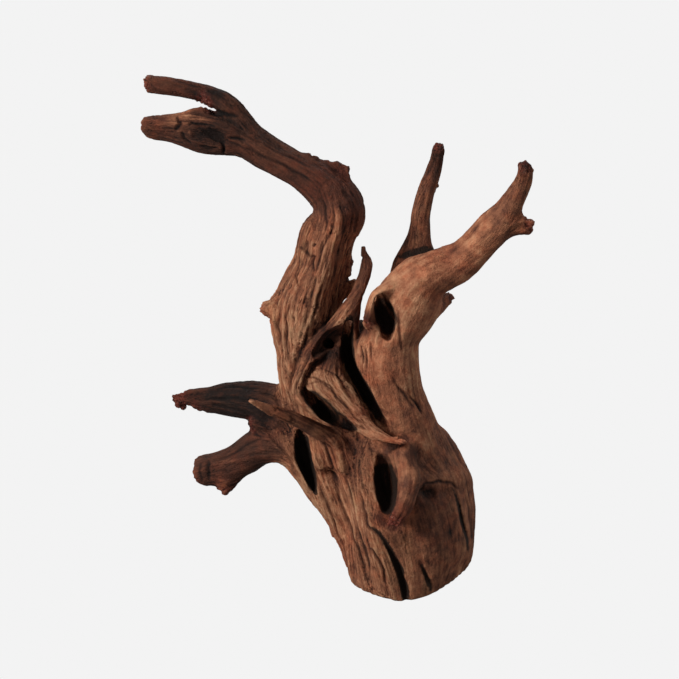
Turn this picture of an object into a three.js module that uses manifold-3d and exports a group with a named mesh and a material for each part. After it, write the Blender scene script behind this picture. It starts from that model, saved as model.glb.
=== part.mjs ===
// A piece of driftwood: the weathered stump of a root, sawn flat at the foot so that it stands,
// with two arms, a twig, broken stubs, thin spikes, knot holes and open cracks.
// It grew as one piece, so it is one solid. Millimetres, +Z up, origin at the middle of the sawn foot.
import * as THREE from 'three';
import { mergeVertices } from 'three/addons/utils/BufferGeometryUtils.js';
import Module from 'manifold-3d';

const wasm = await Module();
wasm.setup();

// The wood is measured from one viewpoint: an eye this far away and this far above the horizon,
// looking at a point left of and above the foot.
const EYE_DISTANCE = 1200;
const EYE_ELEVATION = THREE.MathUtils.degToRad(20);
const LOOKED_AT = new THREE.Vector3(-37.3, 0, 130.2);

// How finely the skin of a limb is cut.
const RING_SPACING = 4.3;
const SHORTEST_EDGE = 1.6;

// A corner lower than this lies in the sawn face.
const GROUND_LEVEL = 1e-4;

// Every limb is a list of stations along its length. A station is
// [right, up, back, across, deep]: how far right and up it is seen from the point looked at,
// how far back it lies, and half its thickness across the view and in depth.

// The trunk, from below the sawn foot up to where it forks, the wood that fills the fork and its
// bottom, and a swelling at the front left of the foot.
const TRUNK = [
  [38, -140, 1, 26, 34],
  [36, -118, 1, 26, 34],
  [36, -102, 1, 28.6, 34],
  [33.8, -84, 1, 31.4, 33],
  [29.6, -68, 2, 31.1, 30.5],
  [25, -54, 3, 27.6, 27],
  [22, -44, 4, 20, 19],
  [20, -38, 5, 8, 8],
];
const CORE = [
  [2, -60, 6, 24, 22],
  [0, -32, 9, 24, 17],
  [-2, -12, 13, 20, 13],
  [-5, 2, 15, 15, 11],
  [-8, 14, 14, 10, 10],
];
const FORK_WEB = [
  [7, -14, 6, 6, 8],
  [9.6, -1, 5, 5, 7],
  [10.9, 7, 4, 3.2, 5],
  [11, 10.5, 4, 1.2, 2],
];
const FOOT_FRONT = [
  [27, -80, -6, 6, 8],
  [24, -99, -10, 8, 9],
  [21.5, -118, -13.5, 10.2, 10.5],
  [20.9, -136, -14, 10.3, 11.5],
];

// The left arm, which leans in, bends over at the top and splits into two prongs. A lip and a
// lump stand where the upper prong leaves.
const LEFT_ARM = [
  [6, -68, 8, 12, 14],
  [-3, -42, 9, 17, 17],
  [-13, -20, 9, 16.5, 17],
  [-15, -2, 9, 16, 17],
  [-16.2, 8, 9, 18, 17],
  [-15.5, 18, 8, 17, 18],
  [-12, 28, 7, 15.2, 17.5],
  [-8.2, 39, 6, 13.4, 16],
  [-6.1, 51, 5, 14.5, 15],
  [-2.8, 57, 5, 12.4, 14.5],
  [-0.1, 62, 5, 13.6, 14],
  [-1.7, 70, 7, 12.9, 13.5],
  [-9.6, 77.6, 10, 10, 12],
  [-19, 84, 14, 9, 10.5],
  [-31, 90, 18, 8.6, 9],
  [-41, 96.6, 21, 9.2, 9],
  [-50, 103, 24, 9.6, 8],
];
const UPPER_PRONG = [
  [-44, 99, 21, 7, 7],
  [-50.8, 111.2, 24, 7.2, 6.5],
  [-57, 118.6, 27, 6.2, 6],
  [-66, 122.6, 30, 5.4, 5],
  [-75, 124.8, 32, 4.9, 4.6],
  [-85, 126.6, 34, 4.9, 4.7],
  [-92.5, 127.4, 36, 4.9, 4.6],
  [-96.6, 127.6, 37, 4.1, 3.9],
];
const LOWER_PRONG = [
  [-42, 98, 21, 9, 8],
  [-52, 102, 23, 10.5, 9],
  [-62, 102.7, 25, 11.3, 9.5],
  [-70, 104, 27, 10.8, 9],
  [-78, 105.2, 29, 8.5, 8],
  [-86, 106.2, 31, 6.9, 7],
  [-93, 106.3, 33, 6.2, 6],
  [-97, 106.5, 34, 5.1, 5],
  [-98.6, 106.4, 34.5, 3, 3],
];
const PRONG_LIP = [
  [-80, 112, 29, 1, 2],
  [-73, 114, 27, 1.7, 3],
  [-66, 112.8, 25, 1.8, 3],
  [-58, 109.8, 23, 2, 3],
];
const PRONG_LUMP = [
  [-60, 121, 28, 4, 4],
  [-66.5, 120, 29, 3.8, 4],
  [-71.5, 119.8, 30, 2, 2.5],
];

// What grows on the left arm: a torn flap along the outside of the bend, a spur on its left, and
// a bump and a shelf on its right.
const BEND_FLAP = [
  [-22, 91.4, 16, 2.6, 4],
  [-15.5, 91, 13, 2.2, 3.5],
  [-12, 89.6, 12.6, 1.7, 3.2],
  [-8, 87.4, 12, 2.8, 3.2],
  [-3, 86, 10, 3.2, 3],
  [1, 84.8, 9, 2.8, 2.6],
  [4, 83.2, 8, 3, 2.6],
  [5.4, 79.8, 7, 1.6, 1.8],
];
const LEFT_SPUR = [
  [-27, 12.4, 7, 9.7, 9],
  [-33.5, 16, 6, 6.7, 6],
  [-39.3, 13.6, 5, 3.3, 3.4],
];
const ARM_BUMP = [
  [2.6, 33, 6, 5, 6],
  [4.6, 37.8, 5, 4.2, 4.5],
  [7.2, 38.4, 4, 2.4, 2],
];
const ARM_SHELF = [
  [-6, 18, 5, 5, 6],
  [1, 23.4, 4, 4, 4.5],
  [5.5, 27, 3, 2.9, 3.5],
  [9, 28.9, 1, 2.1, 2.6],
];

// The right arm, which ends in a narrow tip and a short stub, and a stub behind it.
const RIGHT_ARM = [
  [38, -75, 0, 20, 20],
  [37, -56, -2, 16, 21],
  [34, -44, -3, 14.8, 19],
  [30.5, -34, -4, 14.4, 18],
  [27.3, -24, -4, 14.3, 17],
  [24.6, -13, -4, 15.6, 17],
  [24.3, -4, -4, 15.8, 17],
  [26.5, 4, -4, 14.7, 17],
  [31, 12, -5, 16, 17],
  [35.2, 20, -6, 17, 17],
  [39.6, 28, -7, 14.6, 15.5],
  [45.5, 33.5, -8, 12.4, 13.5],
  [53, 36, -9, 11.2, 12],
  [61, 39, -11, 10.1, 10],
  [69.6, 47.4, -14, 8.9, 9],
  [78.6, 56.9, -17, 9.4, 9],
  [84, 61, -18, 8.5, 8],
];
const RIGHT_TIP = [
  [76, 54, -17, 8.5, 8],
  [83.5, 64, -19, 7.5, 7.5],
  [88.2, 72, -20, 5.8, 6],
  [92.1, 80, -21, 4.6, 4.6],
  [93, 85.5, -22, 4, 3.8],
  [92.2, 89.4, -22, 2.8, 2.8],
];
const RIGHT_STUB = [
  [80, 57, -17, 7.4, 7],
  [88, 57.2, -19, 6.7, 6.5],
  [93.5, 56.6, -20, 4.8, 5],
  [97, 55.4, -20, 3.4, 3.4],
];
const BACK_STUB = [
  [45, 14, 0, 7.5, 7],
  [49.5, 17.5, 5, 5, 6],
  [53.4, 20.6, 9, 4.2, 4.6],
  [55.6, 22, 11, 2.6, 2.8],
];

// The twig that rises behind the right arm.
const TWIG = [
  [38, 22, 6, 12, 9],
  [38.5, 36, 12, 14.9, 8],
  [39, 45, 15, 9.3, 7],
  [40.1, 54, 16, 5.7, 5.5],
  [40.8, 64, 17, 5.6, 5.4],
  [42.8, 73, 18, 5, 4.8],
  [46, 81, 19, 4.6, 4.2],
  [48.2, 88, 20, 3.9, 3.6],
  [49.8, 95.5, 20, 3.7, 3.4],
  [50.4, 98.4, 20, 3, 3],
];

// The horn between the arms and the root it stands on.
const HORN = [
  [-14, -8, -7, 5.5, 7],
  [-6, 2, -9, 5, 6.5],
  [0.5, 9.5, -9, 5, 6],
  [5, 15.5, -8, 4.4, 5],
  [8.3, 21, -6, 3.3, 4],
  [10.8, 27.3, -5, 3, 3.4],
  [12.8, 32.6, -3, 3.1, 3.2],
  [13.8, 38, -2, 3.6, 3],
  [12.5, 43, -2, 2.2, 2.1],
  [11.8, 47.6, -2, 1.4, 1.3],
];
const HORN_ROOT = [
  [8.3, 22, -7, 2.6, 4],
  [6.2, 15, -7, 4.9, 5],
  [3.8, 8, -6, 6.7, 6],
  [3, 0, -2, 7, 7],
  [2, -10, 3, 6, 6],
];

// The tongue of wood that hangs from the fork over the cavity, and the strand that curls round
// the cavity's left end.
const TONGUE = [
  [-2.5, -6, -2, 2.5, 4],
  [-3.5, -12, -7, 5, 6],
  [-5.5, -18, -11, 9.5, 6],
  [-5.5, -23, -13, 13, 6],
  [1, -30, -15, 10.5, 6],
  [6.8, -37, -18, 7.6, 5.4],
  [13, -44, -22.5, 4.6, 4.4],
  [20, -48, -27, 2.9, 3.2],
  [26, -50.6, -31, 2.6, 2.8],
  [34, -53, -34, 1.9, 1.9],
];
const EAR = [
  [-7, 0, -8, 3, 4],
  [-13, -6, -9, 3.2, 5],
  [-17.3, -13, -10, 3.2, 5.5],
  [-20.5, -20, -12, 3.2, 5.5],
  [-21.5, -26, -14, 3, 5],
  [-18.5, -31, -16, 2.8, 4.5],
  [-13, -36, -17.5, 2.6, 4],
  [-7, -41, -19, 2.2, 3],
  [-1, -45, -20, 1.4, 2],
];

// The thin spike that lies across the front of the stubs.
const FRONT_SPIKE = [
  [6, -54, -3, 4, 5],
  [-5, -48.7, -11.5, 4.2, 4.6],
  [-14, -43.9, -16.5, 4, 4.2],
  [-22, -40, -20, 3.9, 3.8],
  [-30, -36.5, -24, 3.3, 3.3],
  [-39, -32.5, -28, 2.3, 2.4],
  [-45, -29.5, -30, 0.8, 0.8],
];

// The two stubs on the left, each with its broken end: a splinter on the upper one and a knob
// under the lower one. A curled knot sits in their fork, and a strand runs down from them along
// the trunk's left edge.
const UPPER_STUB = [
  [0, -46, 9, 12, 12],
  [-20, -36.5, 11, 11.6, 11],
  [-34, -32.3, 15, 10.9, 10],
  [-45, -30.3, 19, 10.2, 9],
  [-56, -29.6, 24, 8.7, 8],
  [-65, -30, 28, 6.8, 6.5],
  [-73, -29.5, 32, 4.8, 4.6],
  [-82, -30, 36, 2.6, 2.6],
];
const STUB_SPLINTER = [
  [-76, -30.5, 33, 3, 3],
  [-79.5, -33, 34, 1.6, 1.8],
  [-80.5, -35.5, 34.5, 0.7, 0.8],
];
const LOWER_STUB = [
  [14, -88, 4, 12, 16],
  [-2, -74, 5, 13.5, 15],
  [-17, -57, 7, 11.3, 12],
  [-29, -51, 10, 11.5, 12],
  [-40, -53.6, 13, 10, 10.5],
  [-49, -60, 16, 9.2, 9.5],
  [-58, -63.7, 19, 8.8, 9],
  [-66, -65.2, 22, 8.3, 8.5],
  [-70.8, -65.8, 24, 7.2, 7.4],
];
const STUB_KNOB = [
  [-52.5, -65, 15, 7.4, 7],
  [-56.3, -71.5, 15, 6, 6],
  [-59, -76.4, 15, 3.4, 3.8],
];
const STUB_CURL = [
  [-35, -41.5, 12, 7, 8],
  [-41, -42.4, 10, 5.6, 6.4],
  [-45.2, -43, 9, 2.8, 3.4],
];
const SIDE_STRAND = [
  [-34, -54, 8, 4, 8],
  [-23.5, -63, 4, 3, 8],
  [-14.2, -77, 2, 2.8, 8],
  [-3.7, -89, 1, 4, 12],
  [4.2, -102, 0, 5.5, 12],
  [11.2, -116, 0, 5, 12],
];

// The hooked branch that hangs down beside the knot hole, and the rim of the column hole.
const HOOK = [
  [31, -54, -20, 8, 8],
  [34.3, -62, -27, 6.8, 7.6],
  [34.6, -70, -31.5, 6, 7.4],
  [34, -77.5, -34.5, 5.6, 6.6],
  [31, -84.8, -36.5, 5.2, 5.6],
  [27, -92.4, -37.5, 3.9, 4],
];
const COLLAR = [
  [23, 4.5, -17, 2, 4],
  [16.8, 5.8, -16, 3.1, 6],
  [13.7, 8.8, -15, 3.9, 8],
  [15.8, 14.6, -16, 2.9, 8.5],
  [16.2, 20, -16, 2.7, 8.5],
  [18.8, 23.8, -16, 3.1, 9],
  [22.8, 25.2, -14.5, 3.3, 8.5],
  [27, 25.6, -10, 3.2, 6],
];

// The back: two ribs that climb from the foot into the arms, and a broken stump.
const BACK_RIB_LEFT = [
  [40, -128, 24, 8, 8],
  [36, -105, 26, 10, 9],
  [26, -80, 26, 11, 9],
  [12, -52, 22, 11, 9],
  [-2, -25, 17, 10, 8],
  [-12, 0, 14, 8, 7],
  [-15, 22, 10, 6, 6],
];
const BACK_RIB_RIGHT = [
  [56, -126, 16, 6, 8],
  [55, -102, 19, 9, 9],
  [47, -76, 21, 10, 9],
  [39, -50, 14, 9, 9],
  [32, -25, 7, 8, 8],
  [27, -5, 4, 6, 6],
];
const BACK_STUMP = [
  [24, -86, 16, 10, 10],
  [18, -82, 32, 7.5, 7.5],
  [13, -80, 41, 5.4, 5.6],
  [11, -79.5, 44, 3.6, 3.6],
];

// The hollows, written as the limbs are. Each is cut out of the joined limbs.

// Where the knots rotted out: one beside the hooked branch and one high in the right column.
const KNOT_HOLE = [
  [21.4, -62.6, -37, 2.8, 4],
  [22, -65.2, -33, 4.9, 11],
  [23, -71.5, -29, 5.6, 16],
  [23.8, -78, -30, 5.2, 15],
  [24.1, -83.5, -33, 3.8, 9],
  [24.2, -87.6, -37, 1.6, 3],
];
const COLUMN_HOLE = [
  [19.9, 20.9, -24, 1.4, 3],
  [20.7, 19.2, -21, 3.3, 9],
  [22.1, 15, -18, 4.6, 14],
  [23.5, 10, -18, 5, 14],
  [24, 5.6, -21, 3.4, 10],
  [24.2, 3, -25, 1.4, 3],
];

// The cavity under the tongue, the cleft between the tongue and the right column, the recess above
// the tongue and the small ring hole in it.
const CAVITY = [
  [-17.5, -26.6, -16, 1.8, 5],
  [-13.8, -29.6, -13, 4, 14],
  [-9, -34, -11, 5.2, 18],
  [-4, -38.2, -12, 4.4, 18],
  [1.6, -41.6, -17, 3.5, 14],
  [6.8, -44.6, -23, 2, 8],
];
const CLEFT = [
  [5, 10, -9, 2, 9],
  [3.8, 3, -9, 3, 13],
  [3.6, -6, -9, 3.4, 16],
  [5.4, -14, -10, 3.3, 17],
  [10, -22, -12, 3.2, 17],
  [14.5, -30, -15, 3.2, 16],
  [18.5, -37.5, -19, 3.1, 13],
  [23, -43, -24, 2, 8],
  [28, -47, -29, 0.8, 3],
];
const RECESS = [
  [-13.5, -9, -16, 2.2, 6],
  [-9.5, -5, -15, 4.4, 10],
  [-4, -1.5, -14, 6.4, 11],
  [2, 3.5, -13, 4.4, 8],
  [5, 7, -12, 1.8, 3],
];
const RING_HOLE = [
  [-6.5, -1, -8, 2, 3],
  [-5, -2.5, 0, 3.2, 3.5],
  [-4, -4, 8, 3, 3.5],
];

// The pit between the twig and the right arm, the pit in the lower prong, and the scoop under the
// ledge right of the hooked branch.
const TWIG_PIT = [
  [29, 42.6, -3, 1.6, 6],
  [34, 44, -2, 2.6, 11],
  [40, 45, -2, 3.8, 12],
  [46, 45.2, -3, 3.6, 12],
  [50.5, 45.2, -7, 1.2, 4],
];
const PRONG_PIT = [
  [-73, 106, 18, 1.2, 3],
  [-67, 104.5, 16, 3, 5],
  [-60, 101.5, 14, 3.8, 6],
  [-55, 97, 13, 1.4, 3],
];
const LEDGE = [
  [41, -75, -34, 1.8, 4],
  [43.5, -77.2, -32, 4, 7.5],
  [47.5, -77.6, -30, 4.4, 7.5],
  [52, -76.2, -27, 3.2, 6],
  [55.5, -74.6, -24, 1.4, 3],
];

// Drying cracks in the trunk, which open towards the foot, and the slit behind the side strand.
const LONG_CRACK = [
  [8, -82, -37, 0.4, 3],
  [14, -92.5, -36, 0.9, 6],
  [20, -97, -36, 1.1, 7],
  [25, -105, -36, 1.5, 8],
  [30, -115.5, -34.5, 2.1, 8],
  [32.6, -125, -33, 2.1, 7],
  [33.4, -132, -34, 1.9, 5],
  [34, -138, -37, 1.1, 2.5],
];
const SHORT_CRACK = [
  [39, -108, -37, 0.4, 3],
  [41.5, -114, -34, 0.9, 6],
  [44.5, -121, -31, 1.3, 7],
  [46.5, -127, -31, 1.2, 5],
  [47.5, -132, -32, 0.7, 2],
];
const RIGHT_CRACK = [
  [56.5, -74, -19, 0.5, 3],
  [59.4, -82, -18, 0.8, 6],
  [61.4, -92, -17, 0.9, 7],
  [64, -100, -14, 1, 7],
  [65.3, -112, -10, 0.5, 3],
];
const SIDE_SLIT = [
  [-20, -46, -4, 1.6, 6],
  [-18.8, -51, -4, 3.8, 9],
  [-17.8, -58, -4, 4.2, 10],
  [-16.3, -63.5, -4, 3.8, 10],
  [-14.2, -70, -4, 2.6, 8],
  [-11.8, -77, -5, 1, 4],
];

// The back: a crack and a worn hollow between the ribs.
const BACK_CRACK = [
  [36, -66, 30, 0.5, 3],
  [39, -82, 34, 1.4, 6],
  [44, -98, 33, 1.8, 7],
  [46, -112, 32, 2, 7],
  [47, -128, 30, 2.2, 7],
];
const BACK_HOLLOW = [
  [18, -58, 40, 2, 4],
  [14, -50, 34, 4.5, 9],
  [8, -40, 31, 5.5, 10],
  [3, -30, 30, 4, 8],
  [0, -22, 30, 1.8, 4],
];

// Ridges and grooves in the skin that faces the viewpoint. Each is the line it follows as seen,
// [right, up], then how high it stands (below zero: how deep it lies) and half its width.
const STROKES = [
  {
    line: [[1, 62], [-5, 46], [-6.5, 36], [-11, 20], [-15, 7], [-18, -4], [-22, -13], [-24, -22]],
    high: 2.4,
    wide: 4,
  },
  {
    line: [[7, 58], [2, 44], [1, 35], [-4, 22], [-8, 12]],
    high: -1.8,
    wide: 4,
  },
  {
    line: [[-9, 62], [-14, 46], [-21, 28], [-25, 10]],
    high: -1.2,
    wide: 3.5,
  },
  {
    line: [[-11, 6], [-14, 0], [-17.7, -9.5], [-21.7, -16.5], [-23.5, -22]],
    high: -3,
    wide: 2.4,
  },
  {
    line: [[-3, -52], [1, -66], [7, -82], [13, -95], [19, -110], [23, -126]],
    high: 2.2,
    wide: 4,
  },
  {
    line: [[-12, -50], [-8, -66], [-2, -80], [4, -95], [8, -110], [11, -124]],
    high: 1.8,
    wide: 4,
  },
  {
    line: [[-7, -58], [-2, -72], [5, -87], [11, -102], [15, -120]],
    high: -2.2,
    wide: 3,
  },
  {
    line: [[16, -53], [13, -62], [13, -75], [15.5, -86], [21, -94], [28, -98]],
    high: 2.6,
    wide: 4,
  },
  {
    line: [[8, -54], [7, -66], [8, -78], [11, -88]],
    high: -1.8,
    wide: 3,
  },
  {
    line: [[9, -3], [10, -13], [15, -23], [21, -30]],
    high: 2.2,
    wide: 4,
  },
  {
    line: [[30, -55], [36, -58], [43, -61]],
    high: -2,
    wide: 5,
  },
  {
    line: [[42, -77], [48, -76.5], [54, -76]],
    high: -3,
    wide: 3.2,
  },
  {
    line: [[41, -71], [50, -71], [60, -69], [66, -68]],
    high: 2,
    wide: 4,
  },
  {
    line: [[38, -100], [44, -88], [50, -86], [56, -98]],
    high: -1.4,
    wide: 6,
  },
  {
    line: [[32, -13], [33, -18]],
    high: 2,
    wide: 6,
  },
  {
    line: [[44, -136], [54, -129], [63, -118]],
    high: -3,
    wide: 7,
  },
];

// One point of the wood, from how far right and up it is seen and how far back it lies.
const towardsEye = new THREE.Vector3(0, -Math.cos(EYE_ELEVATION), Math.sin(EYE_ELEVATION));
const viewUp = new THREE.Vector3(0, Math.sin(EYE_ELEVATION), Math.cos(EYE_ELEVATION));
const eye = LOOKED_AT.clone().addScaledVector(towardsEye, EYE_DISTANCE);

function seen(right, up, back) {
  const aim = LOOKED_AT.clone().addScaledVector(viewUp, up);
  aim.x += right;
  const share = (back - eye.y) / (aim.y - eye.y);
  return { point: eye.clone().lerp(aim, share), scale: share };
}

// Lumps that wander along a limb, as a share from -1 to 1 of their height.
function ripple(angle, along, seed) {
  return (
    0.45 * Math.sin(3 * angle + 2.1 * along + seed) +
    0.35 * Math.sin(5 * angle - 1.4 * along + 2.3 * seed) +
    0.2 * Math.sin(9 * angle + 0.9 * along + 3.7 * seed)
  );
}

// Ridges that run the length of a limb. Each is [angle at the start, angle at the end, height,
// width] in degrees and millimetres: 0 is the right of the limb, 90 its front, 180 its left.
function ridgeHeight(angle, t, ridges) {
  let height = 0;
  for (const [from, to, high, wide] of ridges) {
    const off = THREE.MathUtils.euclideanModulo(angle * THREE.MathUtils.RAD2DEG - from
      - (to - from) * t + 180, 360) - 180;
    height += high * Math.exp(-((off / wide) ** 2)) * Math.sin(Math.PI * t) ** 0.5;
  }
  return height;
}

// The line through the middle of a limb, and its half thickness across and in depth as x and y.
function course(stations) {
  const places = stations.map(([right, up, back]) => seen(right, up, back));
  const girths = stations.map(([, , , across, deep], i) =>
    new THREE.Vector3(across, deep, 0).multiplyScalar(places[i].scale));
  return {
    line: new THREE.CatmullRomCurve3(places.map((place) => place.point), false, 'centripetal'),
    girth: new THREE.CatmullRomCurve3(girths, false, 'catmullrom', 0.5),
  };
}

// A closed skin carried along the stations, with `sides` corners round each ring.
function limb(stations, { sides = 12, relief = 0, turn = 0, ridges = [] } = {}) {
  const { line, girth } = course(stations);
  const length = line.getLength();
  const steps = Math.max(stations.length, Math.round(length / RING_SPACING));
  const seed = stations[0][0] + stations[0][1];
  const corners = [];
  for (let i = 0; i <= steps; i++) {
    const t = i / steps;
    const centre = line.getPoint(t);
    const tangent = line.getTangent(t);
    const side = tangent.clone().cross(eye.clone().sub(centre)).normalize();
    const front = side.clone().cross(tangent).normalize();
    const { x: across, y: deep } = girth.getPoint(t);
    for (let j = 0; j < sides; j++) {
      const angle = (2 * Math.PI * j) / sides;
      const swell = relief * ripple(angle, (t * length) / 20, seed) + ridgeHeight(angle, t, ridges);
      const u = (across + swell) * Math.cos(angle);
      const v = (deep + swell) * Math.sin(angle);
      corners.push(
        centre.clone()
          .addScaledVector(side, u * Math.cos(turn) - v * Math.sin(turn))
          .addScaledVector(front, u * Math.sin(turn) + v * Math.cos(turn)),
      );
    }
  }
  const first = corners.push(line.getPoint(0)) - 1;
  const last = corners.push(line.getPoint(1)) - 1;
  return new THREE.BufferGeometry()
    .setFromPoints(corners)
    .setIndex(skinFaces(sides, steps, first, last));
}

// The triangles of a skin of rings, closed at both ends by a fan round a middle corner.
function skinFaces(sides, steps, first, last) {
  const faces = [];
  const top = steps * sides;
  for (let j = 0; j < sides; j++) {
    const next = (j + 1) % sides;
    for (let ring = 0; ring < top; ring += sides) {
      faces.push(ring + j, ring + sides + next, ring + next);
      faces.push(ring + j, ring + sides + j, ring + sides + next);
    }
    faces.push(first, j, next, last, top + next, top + j);
  }
  return faces;
}

// A closed geometry as a solid that can be joined and cut.
function solid(geometry) {
  geometry.deleteAttribute('normal');
  geometry.deleteAttribute('uv');
  const merged = mergeVertices(geometry);
  return new wasm.Manifold(new wasm.Mesh({
    numProp: 3,
    vertProperties: merged.attributes.position.array,
    triVerts: new Uint32Array(merged.index.array),
  }));
}

// A joined solid as a geometry with one corner for each place.
function geometryOf(shape) {
  const { vertProperties, triVerts } = shape.getMesh();
  return new THREE.BufferGeometry()
    .setAttribute('position', new THREE.BufferAttribute(vertProperties, 3))
    .setIndex(new THREE.BufferAttribute(triVerts, 1));
}

// Joins the ends of every edge shorter than `shortest`, where that leaves the skin whole and
// turns no triangle over. A corner in the sawn face stays in it.
function mergeShortEdges(geometry, shortest) {
  const { position } = geometry.attributes;
  const { index } = geometry;
  const corners = Array.from({ length: position.count }, (_, i) =>
    new THREE.Vector3().fromBufferAttribute(position, i));
  const faces = Array.from({ length: index.count / 3 }, (_, i) =>
    [0, 1, 2].map((k) => index.getX(3 * i + k)));
  const touching = corners.map(() => new Set());
  faces.forEach((face, i) => face.forEach((k) => touching[k].add(i)));
  for (let round = 0; round < 4; round++) {
    faces.forEach((face) => {
      for (let k = 0; face.length && k < 3; k++) {
        const [a, b] = [face[k], face[(k + 1) % 3]];
        if (corners[a].distanceTo(corners[b]) < shortest) joinEnds(a, b, corners, faces, touching);
      }
    });
  }
  const kept = faces.filter((face) => face.length).flat();
  const numbers = [...new Set(kept)];
  const renumbered = new Map(numbers.map((old, i) => [old, i]));
  return new THREE.BufferGeometry()
    .setFromPoints(numbers.map((old) => corners[old]))
    .setIndex(kept.map((old) => renumbered.get(old)));
}

// Draws corner `b` into corner `a`, unless that would pinch the skin or fold it over.
function joinEnds(a, b, corners, faces, touching) {
  const shared = [...touching[a]].filter((i) => touching[b].has(i));
  const ring = (corner) => new Set([...touching[corner]].flatMap((i) => faces[i]));
  const ringOfB = ring(b);
  const common = [...ring(a)].filter((k) => k !== a && k !== b && ringOfB.has(k));
  if (shared.length !== 2 || common.length !== 2) return;
  const onGround = [a, b].filter((k) => corners[k].z < GROUND_LEVEL);
  const place = onGround.length === 1
    ? corners[onGround[0]].clone()
    : corners[a].clone().lerp(corners[b], 0.5);
  const moved = [...touching[a], ...touching[b]].filter((i) => !shared.includes(i));
  for (const i of moved) {
    const before = faces[i].map((k) => corners[k]);
    const after = faces[i].map((k) => (k === a || k === b ? place : corners[k]));
    if (faceNormal(before).dot(faceNormal(after)) < 0.3) return;
  }
  corners[a] = place;
  shared.forEach((i) => {
    faces[i].forEach((k) => touching[k].delete(i));
    faces[i] = [];
  });
  touching[b].forEach((i) => {
    faces[i] = faces[i].map((k) => (k === b ? a : k));
    touching[a].add(i);
  });
  touching[b].clear();
}

function faceNormal([p, q, r]) {
  return q.clone().sub(p).cross(r.clone().sub(p)).normalize();
}

// For each corner, the corners it shares an edge with.
function neighboursOf(geometry) {
  const { index } = geometry;
  const around = Array.from({ length: geometry.attributes.position.count }, () => new Set());
  for (let i = 0; i < index.count; i += 3) {
    for (let k = 0; k < 3; k++) {
      around[index.getX(i + k)].add(index.getX(i + ((k + 1) % 3)));
      around[index.getX(i + ((k + 1) % 3))].add(index.getX(i + k));
    }
  }
  return around.map((set) => [...set]);
}

// Weathers the joints: each round draws the corners towards their neighbours and then a little
// less far back, which rounds the seams between limbs and leaves the limbs their thickness.
function weather(geometry, rounds) {
  const around = neighboursOf(geometry);
  const { position } = geometry.attributes;
  for (let round = 0; round < 2 * rounds; round++) {
    const pull = round % 2 ? -0.4 : 0.5;
    const before = around.map((_, i) => new THREE.Vector3().fromBufferAttribute(position, i));
    around.forEach((near, i) => {
      const middle = new THREE.Vector3();
      near.forEach((k) => middle.addScaledVector(before[k], 1 / near.length));
      middle.lerpVectors(before[i], middle, pull);
      position.setXYZ(i, middle.x, middle.y, middle.z);
    });
  }
  return geometry;
}

// Where a point is seen: [right, up] of the point looked at, measured as the stations are.
function seenAt(point) {
  const offset = point.clone().sub(eye);
  const away = -offset.dot(towardsEye);
  return new THREE.Vector3(offset.x, offset.dot(viewUp), 0).multiplyScalar(EYE_DISTANCE / away);
}

// Raises the ridges and sinks the grooves in every corner that faces the viewpoint.
function carve(geometry, strokes) {
  geometry.computeVertexNormals();
  const { position, normal } = geometry.attributes;
  const strips = strokes.flatMap(({ line, high, wide }) => line.slice(1).map((end, i) => ({
    strip: new THREE.Line3(new THREE.Vector3(...line[i], 0), new THREE.Vector3(...end, 0)),
    stroke: line,
    high,
    wide,
  })));
  for (let i = 0; i < position.count; i++) {
    const point = new THREE.Vector3().fromBufferAttribute(position, i);
    const out = new THREE.Vector3().fromBufferAttribute(normal, i);
    const facing = THREE.MathUtils.smoothstep(out.dot(towardsEye), 0, 0.35);
    const place = seenAt(point);
    const best = new Map();
    for (const { strip, stroke, high, wide } of strips) {
      const near = strip.closestPointToPoint(place, true, new THREE.Vector3()).distanceTo(place);
      const push = high * Math.exp(-((near / wide) ** 2));
      if (Math.abs(push) > Math.abs(best.get(stroke) ?? 0)) best.set(stroke, push);
    }
    const total = [...best.values()].reduce((sum, push) => sum + push, 0);
    point.addScaledVector(out, facing * total);
    position.setXYZ(i, point.x, point.y, point.z);
  }
  return geometry;
}

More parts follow.
